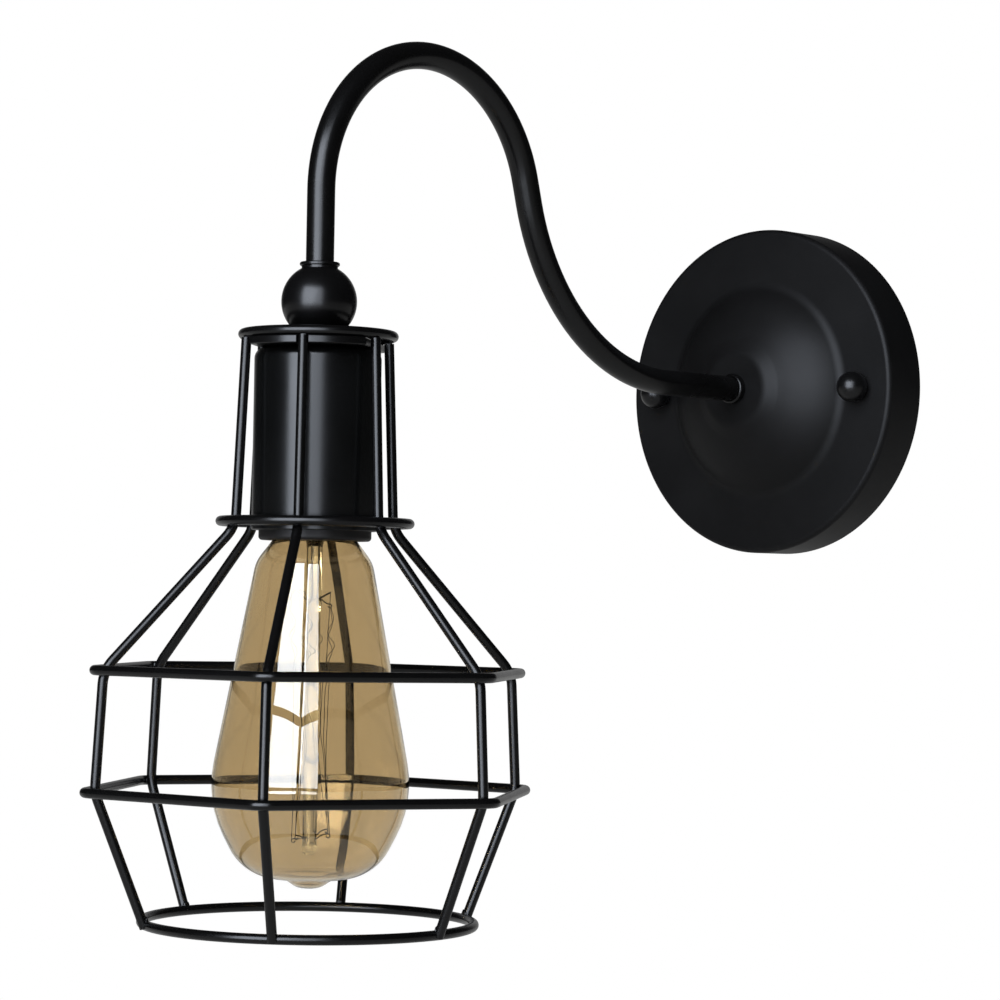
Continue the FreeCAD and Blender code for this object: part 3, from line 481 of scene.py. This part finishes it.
# ---- Arm collar, lock washer and lock nut ----
# A thin turned collar slides down the arm and covers the hole in the boss. Behind the boss a toothed
# washer and a six-sided nut on the arm's threaded tail pull it tight.
collar_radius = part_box("arm_collar")[1].x
collar_length = 0.0026
collar_front = face_depth + collar_length
slip_gap = 0.00005
arm_hole = arm_radius + slip_gap
collar = lathed("collar", rounded([
    (arm_hole, face_depth, 0), (collar_radius, face_depth, 0.0002), (collar_radius, collar_front, 0.0007),
    (arm_hole, collar_front, 0.0002)], closed=True))
collar.transform(out_of_wall)
place_piece("arm_collar_turned", collar, cage_coat, "fixture", ["arm_collar"])
eased("arm_lock_nut", 0.00015, zinc, "fixture", "arm_hex_nut")
eased("arm_lock_washer", 0.0001, zinc, "fixture", "arm_toothed_washer")


# ---- Ball coupling and nipple ----
# A steel ball, turned from bar, with a thin flange round the arm's end at the top and a flat seat at the
# bottom. The arm screws in from above and a threaded nipple from below, and both keep the wires inside.
at_head = Matrix.Translation((0, head_y, 0))
ball_radius = ball_high.x
lip_rise = 0.0005
ball_centre = ball_high.z - lip_rise - ball_radius
lip_radius = 0.0064
lip_edge = 0.0003
lip_thickness = 0.0012
lip_low = ball_high.z - lip_thickness
neck_radius = 0.0058
seat_radius = 0.007
seat_bore = 0.004
seat_angle = math.asin(seat_radius / ball_radius)
neck_turn = math.asin(neck_radius / ball_radius)
ball_line = [(arm_hole, ball_high.z - arm_socket), (arm_hole, ball_high.z - lip_edge),
             (arm_radius + lip_edge, ball_high.z), (lip_radius - lip_edge, ball_high.z),
             (lip_radius, ball_high.z - lip_edge), (lip_radius, lip_low + lip_edge),
             (lip_radius - lip_edge, lip_low), (neck_radius, lip_low),
             (neck_radius, ball_centre + ball_radius * math.cos(neck_turn))]
ball_line += ball_arc(ball_radius, ball_centre, neck_turn, math.pi - seat_angle, 48)[1:]
ball_line += [(seat_radius, ball_low.z), (seat_bore, ball_low.z)]
ball = lathed("ball", ball_line, 128)
ball.transform(at_head)
place_piece("turned_ball", ball, cage_coat, "fixture", ["ball_coupling"])
nipple_low, nipple_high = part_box("nipple")
nipple_radius = nipple_high.x
nipple = threaded_rod("nipple", nipple_low.z, nipple_high.z, nipple_radius, end_radius=0.0028,
                      pitch=0.0008, depth=0.0004, step=0.00014, around=40, bored=True)
nipple.transform(at_head)
place_piece("threaded_nipple", nipple, zinc, "fixture", ["nipple"])


# ---- Cage ----
# Low-carbon steel wire, 3.2 mm thick: six bent uprights, a top ring, a shoulder ring, two six-sided rings
# and a bottom ring, resistance welded where they cross, with a flat plate under the top ring, then coated.
wire_diameter = 0.0032
wire_radius = wire_diameter / 2
cage_turn = math.radians(4.4)
weld_gap = 0.00005
bend_radius = 0.012
bottom_ring_radius = 0.0527
ring_names = ["cage_top_ring", "cage_shoulder_ring", "cage_bottom_ring"]
ring_boxes = [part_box(node) for node in ring_names]
top_radius, shoulder_radius = [high.x - wire_radius for low, high in ring_boxes[:2]]
top_z, shoulder_z, bottom_z = [(low.z + high.z) / 2 for low, high in ring_boxes]
cage_top = ring_boxes[0][1].z
cage_foot = ring_boxes[2][0].z
upper_z = sum(c.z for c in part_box("cage_upper_ring")) / 2
lower_z = sum(c.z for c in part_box("cage_lower_ring")) / 2
upper_reach = 0.071
lower_reach = 0.07337
corner_radius = 0.007


def around_axis(radius, angle, height):
    return Vector((radius * math.cos(angle), radius * math.sin(angle), height))


def bar_at_head(name, line, closed=False, copies=1, turn=0.0, diameter=wire_diameter, finish=cage_coat,
                sides=28):
    """A wire along a line that is drawn round the head's axis."""
    return grown(name, drawn_bar, edge_line(line, closed), Diameter=diameter, Sides=sides, Copies=copies,
                 First_turn=turn, Centre=(0.0, head_y, 0.0), Finish=finish)


ring_sides = 160
for node, radius, height in zip(ring_names, (top_radius, shoulder_radius, bottom_ring_radius),
                                (top_z, shoulder_z, bottom_z)):
    circle = [around_axis(radius, 2 * math.pi * k / ring_sides, height) for k in range(ring_sides)]
    place_piece(node + "_welded", bar_at_head(node, circle, True), cage_coat, "fixture",
                [node])
for node, reach, height in (("cage_upper_ring", upper_reach, upper_z),
                            ("cage_lower_ring", lower_reach, lower_z)):
    vertex = reach + corner_radius * (1 / math.cos(math.radians(30)) - 1)
    corners = [around_axis(vertex, cage_turn + math.radians(60 * k), height) for k in range(7)]
    middle = (corners[0] + corners[1]) / 2
    hexagon = bent_line([middle] + corners[1:] + [middle], [corner_radius] * 6)[:-1]
    place_piece(node + "_bent", bar_at_head(node, hexagon, True), cage_coat, "fixture",
                [node])

# The uprights' corners lie so that each rounded bend just touches the ring that it is welded to, and
# their feet end on the bottom ring.
shoulder_corner = 0.026485
shoulder_drop = 0.0018
upper_corner = 0.068322
lower_bend = 0.070371
foot_reach = 0.0538
foot_rise = 0.001
upright = [Vector((radius, 0, height)) for radius, height in (
    (top_radius, cage_top - wire_diameter - weld_gap), (shoulder_corner, shoulder_z - shoulder_drop),
    (upper_corner, upper_z), (lower_bend, lower_z), (foot_reach, bottom_z))]
last_run = (upright[-1] - upright[-2]).normalized()
upright[-1] = upright[-1] + last_run * ((upright[-1].z - cage_foot - foot_rise) / -last_run.z)
wires = bar_at_head("cage_wires", bent_line(upright, [bend_radius] * 3, 6.0), copies=6, turn=cage_turn)
place_piece("cage_uprights", wires, cage_coat, "fixture",
            ["cage_wire_%d" % (k + 1) for k in range(6)])

# The plate is as wide as the ring's bore, with two straight sides, a hole for the nipple and two notches
# round the wires that it meets.
plate_low, plate_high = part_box("cage_strap")
plate_turn = cage_turn + math.radians(120)
plate_reach = top_radius + wire_radius
plate_half = 0.0185
plate_hole = nipple_radius + slip_gap
notch_radius = wire_radius + 0.0002
edge_break = 0.0003


def plate_cut(radius, height, angle):
    """Carves the plate out of a disc: the hole stays round, and the rim moves in to the cut edge."""
    if radius < plate_half:
        return radius
    edge = min(plate_reach, plate_half / max(1e-6, abs(math.sin(angle))))
    aside = top_radius * abs(math.sin(angle))
    if aside < notch_radius:
        edge = min(edge, top_radius * abs(math.cos(angle)) - math.sqrt(notch_radius ** 2 - aside ** 2))
    return edge - (plate_reach - radius)


plate_line = [(plate_hole, plate_low.z + edge_break), (plate_hole, plate_high.z - edge_break),
              (plate_hole + edge_break, plate_high.z), (plate_reach - edge_break, plate_high.z),
              (plate_reach, plate_high.z - edge_break), (plate_reach, plate_low.z + edge_break),
              (plate_reach - edge_break, plate_low.z), (plate_hole + edge_break, plate_low.z)]
plate = lathed("plate", plate_line, 720, plate_cut)
plate.transform(at_head @ Matrix.Rotation(plate_turn, 4, "Z"))
place_piece("top_plate", plate, cage_coat, "fixture", ["cage_strap"])


# The welds: a small uneven bead fills each crotch between an upright and a ring.
def bead_tree():
    """Geometry Nodes: one lumpy weld bead at a place in the XZ plane, copied round the Z axis."""
    tree = bpy.data.node_groups.new("weld_beads", "GeometryNodeTree")
    given = named_inputs(tree, [("Size", "Vector"), ("Seed", "Float")], "Beads")
    drop = put(tree, "GeometryNodeMeshIcoSphere", {"Radius": 1.0, "Subdivisions": 4})
    lumps = put(tree, "ShaderNodeTexNoise", {"W": given["Seed"], "Scale": 1.6, "Detail": 1.0},
                noise_dimensions="4D")
    grow = maths(tree, "MULTIPLY_ADD", lumps.outputs[0], 0.5, 0.75)
    place = put(tree, "GeometryNodeInputPosition")
    lumpy = put(tree, "ShaderNodeVectorMath", {0: place.outputs[0], "Scale": grow},
                operation="SCALE")
    sized = put(tree, "ShaderNodeVectorMath", {0: lumpy.outputs[0], 1: given["Size"]}, operation="MULTIPLY")
    bead = put(tree, "GeometryNodeSetPosition", {"Geometry": drop.outputs[0], "Position": sized.outputs[0]})
    set_down = put(tree, "GeometryNodeInstanceOnPoints", {"Points": given["Line"],
                                                          "Instance": bead.outputs[0]})
    return copied_round(tree, given, set_down)


bead_size = (0.0009, 0.0014, 0.0016)
bead_inset = 0.0004
foot_bead_reach = 0.0006
foot_bead_rise = 0.0014
# Each crossing's bead lies between the upright's line and the ring's line.
crossings = [Vector((top_radius, 0, cage_top - wire_diameter)),
             Vector((shoulder_radius - wire_radius, 0, shoulder_z)),
             Vector((upper_reach - wire_radius - bead_inset, 0, upper_z)),
             Vector((lower_reach - wire_radius - bead_inset, 0, lower_z)),
             Vector((bottom_ring_radius + foot_bead_reach, 0, bottom_z + foot_bead_rise))]
beads = grown("cage_welds", bead_tree(), edge_line(crossings), Size=bead_size, Seed=4.0, Copies=6,
              First_turn=cage_turn, Centre=(0.0, head_y, 0.0), Finish=cage_coat)
beads.materials.clear()
beads.materials.append(cage_coat)
beads.shade_smooth()
welds = linked("cage_welds", beads)
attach(welds, "fixture")


# ---- Cup over the lampholder ----
# A deep-drawn cup of 0.8 mm steel with a rounded shoulder, coated satin black like the cage. The nipple
# and its nut pull it up against the plate.
cup_coat = powder_coat("cup_powder_coat", "#08090A", "#0D0E0F", 0.24, 0.000004)
cup_radius = cup_high.x
cup_wall = 0.0008
cup_shoulder = 0.0035
cup_lip = 0.0003
cup_inner = cup_radius - cup_wall
cup_ceiling = cup_high.z - cup_wall
cup_line = rounded([
    (nipple_radius + slip_gap, cup_high.z, 0), (cup_radius, cup_high.z, cup_shoulder),
    (cup_radius, cup_low.z, cup_lip), (cup_inner, cup_low.z, cup_lip),
    (cup_inner, cup_ceiling, cup_shoulder - cup_wall), (nipple_radius + slip_gap, cup_ceiling, 0)])
cup = lathed("drawn_cup", cup_line, 160)
cup.transform(at_head)
place_piece("drawn_cup", cup, cup_coat, "fixture", ["socket_cup"])


# ---- Lampholder ----
# A moulded black phenolic body in the cup, with a brass screw shell and a sprung centre contact inside,
# and brass terminals on its head. A steel bridge and two screws hang it from the nipple.
def phenolic():
    """Compression-moulded phenolic resin: near black, with a dull satin skin and faint flow marks."""
    return clouded("moulded_phenolic", {"IOR": 1.58, "Specular IOR Level": 0.15},
                   (0.006, "#0A0909", "#141110"), (0.004, 0.45, 0.58), (0.0012, 0.000008))


moulding = phenolic()
eased("holder_body", 0.0003, moulding, "fixture", "moulded_holder")
eased("holder_bridge", 0.0002, zinc, "fixture", "bent_bridge")
eased("holder_lock_nut", 0.00015, zinc, "fixture", "holder_hex_nut")
eased("holder_lock_washer", 0.0001, zinc, "fixture", "holder_toothed_washer")
eased("bridge_screws", 0.00015, zinc, "fixture", "bridge_pan_screws")
eased("holder_terminals", 0.0002, brass, "fixture", "brass_clamps")
eased("holder_terminal_screws", 0.0001, zinc, "fixture", "clamp_screws")
eased("centre_contact", 0.0001, brass, "fixture", "sprung_contact")
screw_pitch = 0.003629
thread_step = 0.0003
shell_low, shell_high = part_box("screw_shell")
shell_outer = shell_high.x
shell_wall = 0.0004
shell_depth = 0.0009


def shell_cut(radius, height, angle):
    return radius - shell_depth * (1 - thread_wave(height, angle, screw_pitch))


shell_inner = shell_outer - shell_wall
shell_line = dense([(shell_outer, shell_low.z), (shell_outer, shell_high.z)], thread_step)
shell_line += dense([(shell_inner, shell_high.z), (shell_inner, shell_low.z)], thread_step)
shell = lathed("screw_shell", shell_line, 72, shell_cut)
shell.transform(at_head)
place_piece("rolled_screw_shell", shell, brass, "fixture", ["screw_shell"],
            crease=60.0)


# ---- Bulb cap, insulator and tip ----
# A 27 mm screw cap of thin nickel-plated brass with its thread rolled in, closed by a cone of black
# glass and a dome of solder, which is the tip contact.
def nickel():
    """Nickel plate on rolled brass: warm silver, smooth, with dull streaks from handling."""
    return clouded("nickel_plate", {"Metallic": 1.0}, (0.005, "#C9C4B8", "#B2AC9E"), (0.003, 0.18, 0.34),
                   (0.0008, 0.00001))


def black_glass():
    """Pressed black glass, as cap insulators are made: black, very smooth, slightly rippled."""
    return clouded("black_cap_glass", {"IOR": 1.52}, (0.003, "#060608", "#0D0D12"), (0.003, 0.06, 0.16),
                   (0.002, 0.00002))


def solder():
    """Tin solder, set as a drop: dull silver grey with a frosted skin."""
    return clouded("tin_solder", {"Metallic": 1.0}, (0.002, "#B4B5B3", "#8E908F"), (0.001, 0.3, 0.5),
                   (0.0009, 0.00005))


nickel_plate = nickel()
cap_low, cap_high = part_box("bulb_cap")
cap_radius = cap_high.x
cap_wall = 0.0003
cap_hole = 0.0025
thread_depth = 0.0011
thread_fade = 0.001
skirt_top = cap_low.z + 0.0035
thread_top = cap_high.z - 0.0025
least_threaded = 0.0125
roll_start = 0.002
roll_middle = 0.001


def cap_cut(radius, height, angle):
    """A rolled thread between the plain skirt and the rolled-in top."""
    if radius < least_threaded:
        return radius
    fade = min(1, max(0, (height - skirt_top) / thread_fade), max(0, (thread_top - height) / thread_fade))
    return radius - thread_depth * (1 - thread_wave(height, angle, screw_pitch)) * fade


cap_outer = dense([(cap_radius, cap_low.z), (cap_radius, cap_high.z - roll_start)], thread_step)
cap_outer += [(cap_radius * 0.93, cap_high.z - roll_middle), (cap_radius * 0.78, cap_high.z)]
cap_inner = [(r - cap_wall, min(z, cap_high.z - cap_wall)) for r, z in cap_outer]
cap_line = cap_outer + [(cap_hole, cap_high.z), (cap_hole, cap_high.z - cap_wall)] + cap_inner[::-1]
cap = lathed("cap", cap_line, 96, cap_cut)
cap.transform(at_head)
place_piece("rolled_screw_cap", cap, nickel_plate, "bulb", ["bulb_cap"], crease=60.0)
eased("bulb_cap_insulator", 0.0002, black_glass(), "bulb", "pressed_insulator")
eased("bulb_tip_contact", 0.0001, solder(), "bulb_tip", "solder_tip")


# ---- Bulb glass ----
# A blown envelope of soda-lime glass, tinted a light amber, about 0.9 mm thick. The neck is sealed in the
# cap, and the pinched tip at the bottom is where the air was drawn out.
def clear_glass(name, colour, ior, wave, depth):
    """Clear glass worked in a flame: smooth, with soft waves of a real size and depth. A tint shows more
    where a wall is seen edge on."""
    material, tree, place, shader = new_finish(name, {
        "Base Color": linear(colour), "Roughness": 0.0, "IOR": ior, "Transmission Weight": 1.0})
    relief(tree, place, wave, depth, shader, detail=1.0)
    return material


amber_glass = clear_glass("amber_blown_glass", "#CFBFA0", 1.5, 0.016, 0.00009)
glass_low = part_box("bulb_glass")[0]
glass_wall = 0.0009
glass_step = 0.002
tucked_r = 0.0113
tucked_top = cap_low.z + 0.012
tucked_foot = cap_low.z + 0.0035
neck_r = 0.0125
neck_top = cap_low.z + 0.0005
neck_z = cap_low.z - 0.002
shoulder_r = 0.0186
shoulder_z = neck_z - 0.008
corner_z = neck_z - 0.084
side_slope = math.radians(10.8)
corner_r = shoulder_r + (shoulder_z - corner_z) * math.tan(side_slope)
flat_r = 0.0205
end_z = glass_low.z + 0.003
tip_foot_r = 0.0078
tip_end_r = 0.0036
# Each corner is a radius, a height and a fillet, from the tucked-in top to the tip.
glass_corners = [(tucked_r, tucked_top, 0), (tucked_r, tucked_foot, 0.002), (neck_r, neck_top, 0.002),
                 (neck_r, neck_z, 0.004), (shoulder_r, shoulder_z, 0.012), (corner_r, corner_z, 0.036),
                 (flat_r, end_z, 0.0175), (tip_foot_r, end_z, 0.0065), (tip_end_r, glass_low.z, 0.0065),
                 (0, glass_low.z, 0)]
outer_glass = rounded(glass_corners)
inner_glass = rounded(offset_corners(glass_corners, glass_wall))
envelope = lathed("envelope", dense(outer_glass[::-1] + inner_glass, glass_step)[::-1], 144)
envelope.transform(at_head)
place_piece("blown_envelope", envelope, amber_glass, "bulb", ["bulb_glass"], crease=80.0)


# ---- Stem, supports and filament ----
# A flared stem of clear glass is fused into the neck, pinched flat where the two lead wires pass through,
# and drawn out to a thin rod. Fine hooks in the rod carry one filament wire that zigzags up and down.
def hot_wire(name, first, second, roughness):
    """Drawn tungsten or nickel wire, darkened by heat: grey brown, with a satin skin."""
    return clouded(name, {"Metallic": 1.0}, (0.004, first, second), (0.002, roughness - 0.1, roughness + 0.1))


stem_glass = clear_glass("clear_stem_glass", "#F4F6F2", 1.54, 0.004, 0.00006)
support_finish = hot_wire("nickel_support_wire", "#5A5650", "#3E3A36", 0.4)
filament_finish = hot_wire("tungsten_filament", "#3B3733", "#2A2724", 0.5)
stem_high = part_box("bulb_stem")[1]
seal_z = neck_z - 0.019
stem_r = 0.0026
tube_r = 0.0022
tube_top = neck_z + 0.0095
tube_foot = neck_z + 0.002
flare_r = neck_r - glass_wall - 0.0003
flare_lip = 0.002
flare_under = neck_z + 0.0092
waist_z = neck_z - 0.002
rod_r = 0.0022
rod_start = seal_z - 0.0004
bead_r = 0.0027
bead_join = 1.0
upper_bead_z = neck_z - 0.021
lower_hook_z = neck_z - 0.0947
end_bead_z = lower_hook_z - 0.004
stem_line = rounded([
    (0, tube_top, 0), (tube_r, tube_top, 0), (tube_r, tube_foot, 0.001),
    (flare_r - flare_lip, flare_under, 0.004), (flare_r, stem_high.z, 0.0003), (stem_r, waist_z, 0.005),
    (stem_r, seal_z, 0.0006), (rod_r, rod_start, 0)])
stem_line += ball_arc(bead_r, upper_bead_z, bead_join, math.pi - bead_join, 12)
stem_line += ball_arc(bead_r, end_bead_z, bead_join, math.pi, 12)
stem = lathed("stem", stem_line, 64)
pinch_top = neck_z - 0.008
pinch_in = 0.006
pinch_out = 0.004
pinch_wider = 0.25
pinch_thinner = 0.45
for vertex in stem.vertices:
    height = vertex.co.z
    depth = min(1, max(0, (pinch_top - height) / pinch_in), max(0, (height - seal_z) / pinch_out + 1))
    ease = depth * depth * (3 - 2 * depth)
    vertex.co.x *= 1 + pinch_wider * ease
    vertex.co.y *= 1 - pinch_thinner * ease
stem.transform(at_head)
place_piece("flared_stem", stem, stem_glass, "bulb", ["bulb_stem"], crease=60.0)

hook_count = 6
hook_diameter = 0.00042
hook_eye = 0.0006


def hook_line(reach, height, rise, root):
    """One support: out of the glass, bowed, with its end curled into an open eye."""
    straight = reach - hook_eye
    line = [Vector((root * 0.8, 0, height + rise))]
    for t in [k / 8 for k in range(9)]:
        line.append(Vector((root + (straight - root) * t, 0, height + rise * (1 - t) ** 2)))
    for a in [math.radians(30 * k) for k in range(1, 10)]:
        line.append(Vector((straight + hook_eye * math.sin(a), 0, height - hook_eye * (1 - math.cos(a)))))
    return line


def swing(index, amount):
    """A small departure, different for each hook."""
    return amount * math.sin(2.4 * index + 1.0)


upper_hook_r = 0.0065
lower_hook_r = 0.007
upper_hook_z = upper_bead_z + 0.002
upper_root_z = upper_bead_z + 0.001
lower_root_z = lower_hook_z - 0.0012
# The filament's turning points: even ones on the upper hooks, odd ones on the lower, and its two ends on
# the lead wires. The hooks are bent by hand, so no two reach quite as far.
turns = []
for index in range(2 * hook_count - 1):
    reach, rest, spread = ((lower_hook_r, lower_hook_z, 0.0014) if index % 2 else
                           (upper_hook_r, upper_hook_z, 0.0028))
    turns.append((reach + swing(index, 0.0012), rest + swing(index + 5, spread)))
hooks = []
for index in range(1, 2 * hook_count - 2):
    reach, height = turns[index]
    root_z, root = (lower_root_z, rod_r) if index % 2 else (upper_root_z, bead_r)
    hook = hook_line(reach, height, root_z - height, root)
    hooks.append(bar_at_head("hooks", hook, turn=math.pi * index / hook_count, diameter=hook_diameter,
                             finish=support_finish, sides=10))
place_piece("hook_supports", joined("hook_supports", hooks), support_finish, "bulb",
            ["bulb_supports"], crease=60.0)

# Each run of the filament sags towards the rod and waves to the side, no two alike.
filament_diameter = 0.00022
run_points = 90
lower_hang = 0.0009
upper_hang = 0.0003


def filament_turn(index):
    """Where the filament lies over or under one hook."""
    reach, height = turns[index]
    hang = lower_hang if index % 2 else upper_hang
    return around_axis(reach, math.pi * index / hook_count, height - hang)


filament_line = []
for index in range(2 * hook_count - 2):
    first, last = filament_turn(index), filament_turn(index + 1)
    outward = Vector((first.x + last.x, first.y + last.y, 0)).normalized()
    aside = Vector((-outward.y, outward.x, 0))
    for k in range(run_points):
        along = k / run_points
        near_top = 1 - along if index % 2 else along
        swell = math.sin(math.pi * along)
        sag = 0.0018 * swell * (1 + 0.6 * math.sin(2.3 * index + 3 * along))
        wave = 0.0011 * math.sin(9 * along + 1.9 * index) + 0.0003 * math.sin(31 * along + index)
        curl = 0.0013 * math.sin(50 * near_top + index) * math.exp(-(8 * near_top - 1.3) ** 2)
        inwards = -(sag + 0.6 * curl)
        filament_line.append(first.lerp(last, along) + outward * inwards + aside * (wave * swell + curl))
filament = bar_at_head("filament", filament_line, diameter=filament_diameter, finish=filament_finish, sides=8)
place_piece("zigzag_filament", filament, filament_finish, "bulb", ["bulb_filament"],
            crease=60.0)

# The two lead wires come down through the stem, 1.8 mm either side of its axis, to the filament's ends.
lead_offset = 0.0018
lead_diameter = 0.0006
lead_top = cap_high.z - 0.0005
lead_bend_z = seal_z - 0.001
lead_overlap = 0.0004
leads = []
for end in (filament_line[0], filament_line[-1]):
    beside = Vector((end.x, end.y, 0)).normalized() * lead_offset
    lead = bent_line([beside + Vector((0, 0, lead_top)), beside + Vector((0, 0, lead_bend_z)),
                      end + Vector((0, 0, lead_overlap))], [0.0008], 15.0)
    leads.append(bar_at_head("leads", lead, diameter=lead_diameter, finish=support_finish, sides=12))
place_piece("lead_wires", joined("lead_wires", leads), support_finish, "bulb", ["bulb_leads"],
            crease=60.0)


# ---- Wires and terminal block ----
# Insulated copper cores run from a white nylon terminal block behind the canopy through the arm to the
# lampholder, and a short green and yellow one joins the bracket's earth screw.
def core_cover(name, first, second, stripe=None):
    """Extruded PVC cover of a single core: even colour, soft gloss, slightly scuffed.
    The earth core has yellow bands, which are drawn 3 mm apart as they show from the side."""
    material, tree, place, shader = new_finish(name, {"IOR": 1.53})
    if stripe:
        bands = put(tree, "ShaderNodeTexWave", {"Vector": place, "Scale": 1 / 0.01},
                    bands_direction="DIAGONAL")
        edge = put(tree, "ShaderNodeMapRange", {"Value": bands.outputs["Fac"], "From Min": 0.48,
                                                "From Max": 0.52})
        mixed = put(tree, "ShaderNodeMix", {0: edge.outputs[0], 6: linear(first), 7: linear(stripe)},
                    data_type="RGBA")
        tree.links.new(mixed.outputs[2], shader.inputs["Base Color"])
    else:
        tint(tree, place, 0.01, first, second, shader.inputs["Base Color"])
    vary(tree, place, 0.005, 0.34, 0.5, shader.inputs["Roughness"])
    return material


def nylon():
    """Moulded white polyamide: milky, slightly warm, with a fine sparked texture."""
    return clouded("white_nylon", {"IOR": 1.53, "Subsurface Weight": 0.2, "Subsurface Scale": 0.001},
                   (0.012, "#E4E1D6", "#DBD7C9"), (0.004, 0.4, 0.52), (0.0007, 0.00002))


for node, first, second, stripe in (("live_core", "#4A2A17", "#563420", None),
                                    ("neutral_core", "#1D4E96", "#235AA8", None),
                                    ("earth_core", "#2E7A33", "#2E7A33", "#D8C52E")):
    nodes[node].data.materials.clear()
    nodes[node].data.materials.append(core_cover(node + "_cover", first, second, stripe))
eased("terminal_block", 0.0004, nylon(), "fixture", "moulded_block")
eased("terminal_block_screws", 0.0002, zinc, "fixture", "block_screws")


# ---- Set: camera, floor, background and lamps ----
# A white studio sweep with a pale floor well below the lamp, one large cool window of two panes to the
# camera's left, and a softer lamp above it for the flat colours.
camera_place = Vector((0.745081, -0.968629, -0.076475))
view_heading = math.radians(42.61)
view_rise = math.radians(1.643)
view_roll = math.radians(0.952)
lens = bpy.data.cameras.new("camera")
lens.lens = 117.06
lens.sensor_width = 36.0
camera = linked("camera", lens)
aimed = Euler((math.radians(90) + view_rise, 0, view_heading)).to_matrix()
aimed = aimed @ Matrix.Rotation(view_roll, 3, "Z")
camera.matrix_world = Matrix.Translation(camera_place) @ aimed.to_4x4()
bpy.context.scene.camera = camera

floor_drop = 0.45
floor_mesh = bpy.data.meshes.new("floor")
floor_half = 8.0
floor_mirrored = 0.12
floor_corners = [(x * floor_half, y * floor_half, -floor_drop) for x, y in
                 ((-1, -1), (1, -1), (1, 1), (-1, 1))]
floor_mesh.from_pydata(floor_corners, [], [(0, 1, 2, 3)])
floor = linked("floor", floor_mesh)
paper = bpy.data.materials.new("pale_floor")
paper.use_nodes = True
tree = paper.node_tree
tree.nodes.clear()
rays = put(tree, "ShaderNodeLightPath").outputs
clear = maths(tree, "MAXIMUM", rays["Is Camera Ray"], rays["Is Transmission Ray"])
seen = maths(tree, "MULTIPLY_ADD", rays["Is Glossy Ray"], floor_mirrored, clear)
spot = put(tree, "ShaderNodeVectorMath", {0: put(tree, "ShaderNodeTexCoord").outputs["Object"], 1: (1, 1, 0)},
           operation="MULTIPLY")
radius = put(tree, "ShaderNodeVectorMath", {0: spot.outputs[0]}, operation="LENGTH")
fade = put(tree, "ShaderNodeMapRange", {"Value": radius.outputs["Value"], "From Min": 0.7, "From Max": 1.5,
                                        "To Min": 0.3, "To Max": 1.0}, interpolation_type="SMOOTHSTEP")
glow = maths(tree, "MULTIPLY", seen, fade.outputs[0])
matt = put(tree, "ShaderNodeBsdfDiffuse", {"Color": linear("#E6E6E4")})
white = put(tree, "ShaderNodeEmission", {"Color": (1, 1, 1, 1), "Strength": 1.0})
both = put(tree, "ShaderNodeMixShader", {0: glow, 1: matt.outputs[0], 2: white.outputs[0]})
put(tree, "ShaderNodeOutputMaterial", {"Surface": both.outputs[0]})
floor_mesh.materials.append(paper)

room_level = 0.48
world = bpy.data.worlds.new("studio")
bpy.context.scene.world = world
world.use_nodes = True
tree = world.node_tree
tree.nodes.clear()
rays = put(tree, "ShaderNodeLightPath").outputs
clear = maths(tree, "MAXIMUM", rays["Is Camera Ray"], rays["Is Transmission Ray"])
heading = put(tree, "ShaderNodeVectorMath", {0: put(tree, "ShaderNodeTexCoord").outputs["Generated"],
                                             1: (-0.68, 0.73, 0.0)}, operation="DOT_PRODUCT")
sweep = put(tree, "ShaderNodeMapRange", {"Value": heading.outputs["Value"], "From Min": 0.8, "From Max": 0.95,
                                         "To Min": 0.02, "To Max": 0.4}, interpolation_type="SMOOTHSTEP")
mirrored = maths(tree, "MULTIPLY", rays["Is Glossy Ray"], sweep.outputs[0])
room = maths(tree, "SUBTRACT", 1.0, rays["Is Glossy Ray"])
soft = maths(tree, "MULTIPLY_ADD", room, room_level, mirrored)
level = maths(tree, "MAXIMUM", clear, soft)
sky = put(tree, "ShaderNodeBackground", {"Color": (1, 1, 1, 1), "Strength": level})
put(tree, "ShaderNodeOutputWorld", {"Surface": sky.outputs[0]})


def lamp(name, heading, rise, distance, width, height, power, colour, **seen_by):
    """A soft rectangular lamp at a heading from -Y towards +X, aimed at the middle of the wall light."""
    light = bpy.data.lights.new(name, "AREA")
    light.shape = "RECTANGLE"
    light.size, light.size_y = width, height
    light.energy = power
    light.color = linear(colour)[:3]
    stand = linked(name, light)
    away = Vector((math.sin(heading) * math.cos(rise), -math.cos(heading) * math.cos(rise), math.sin(rise)))
    stand.location = Vector((0, head_y / 2, 0)) + away * distance
    stand.rotation_euler = away.to_track_quat("Z", "Y").to_euler()
    for ray, on in seen_by.items():
        setattr(stand, ray, on)


lamp_distance = 1.7
window = {"rise": math.radians(13.4), "distance": lamp_distance, "height": 1.58, "colour": "#EAF2FF",
          "visible_diffuse": False}
lamp("window_left", math.radians(13), width=1.18, power=96.0, **window)
lamp("window_right", math.radians(41.6), width=0.55, power=26.0, **window)
lamp("soft_key", math.radians(12), math.radians(36), lamp_distance, 1.2, 1.2, 25.0, "#F6F9FF",
     visible_glossy=False)
bpy.context.scene.view_settings.view_transform = "Standard"
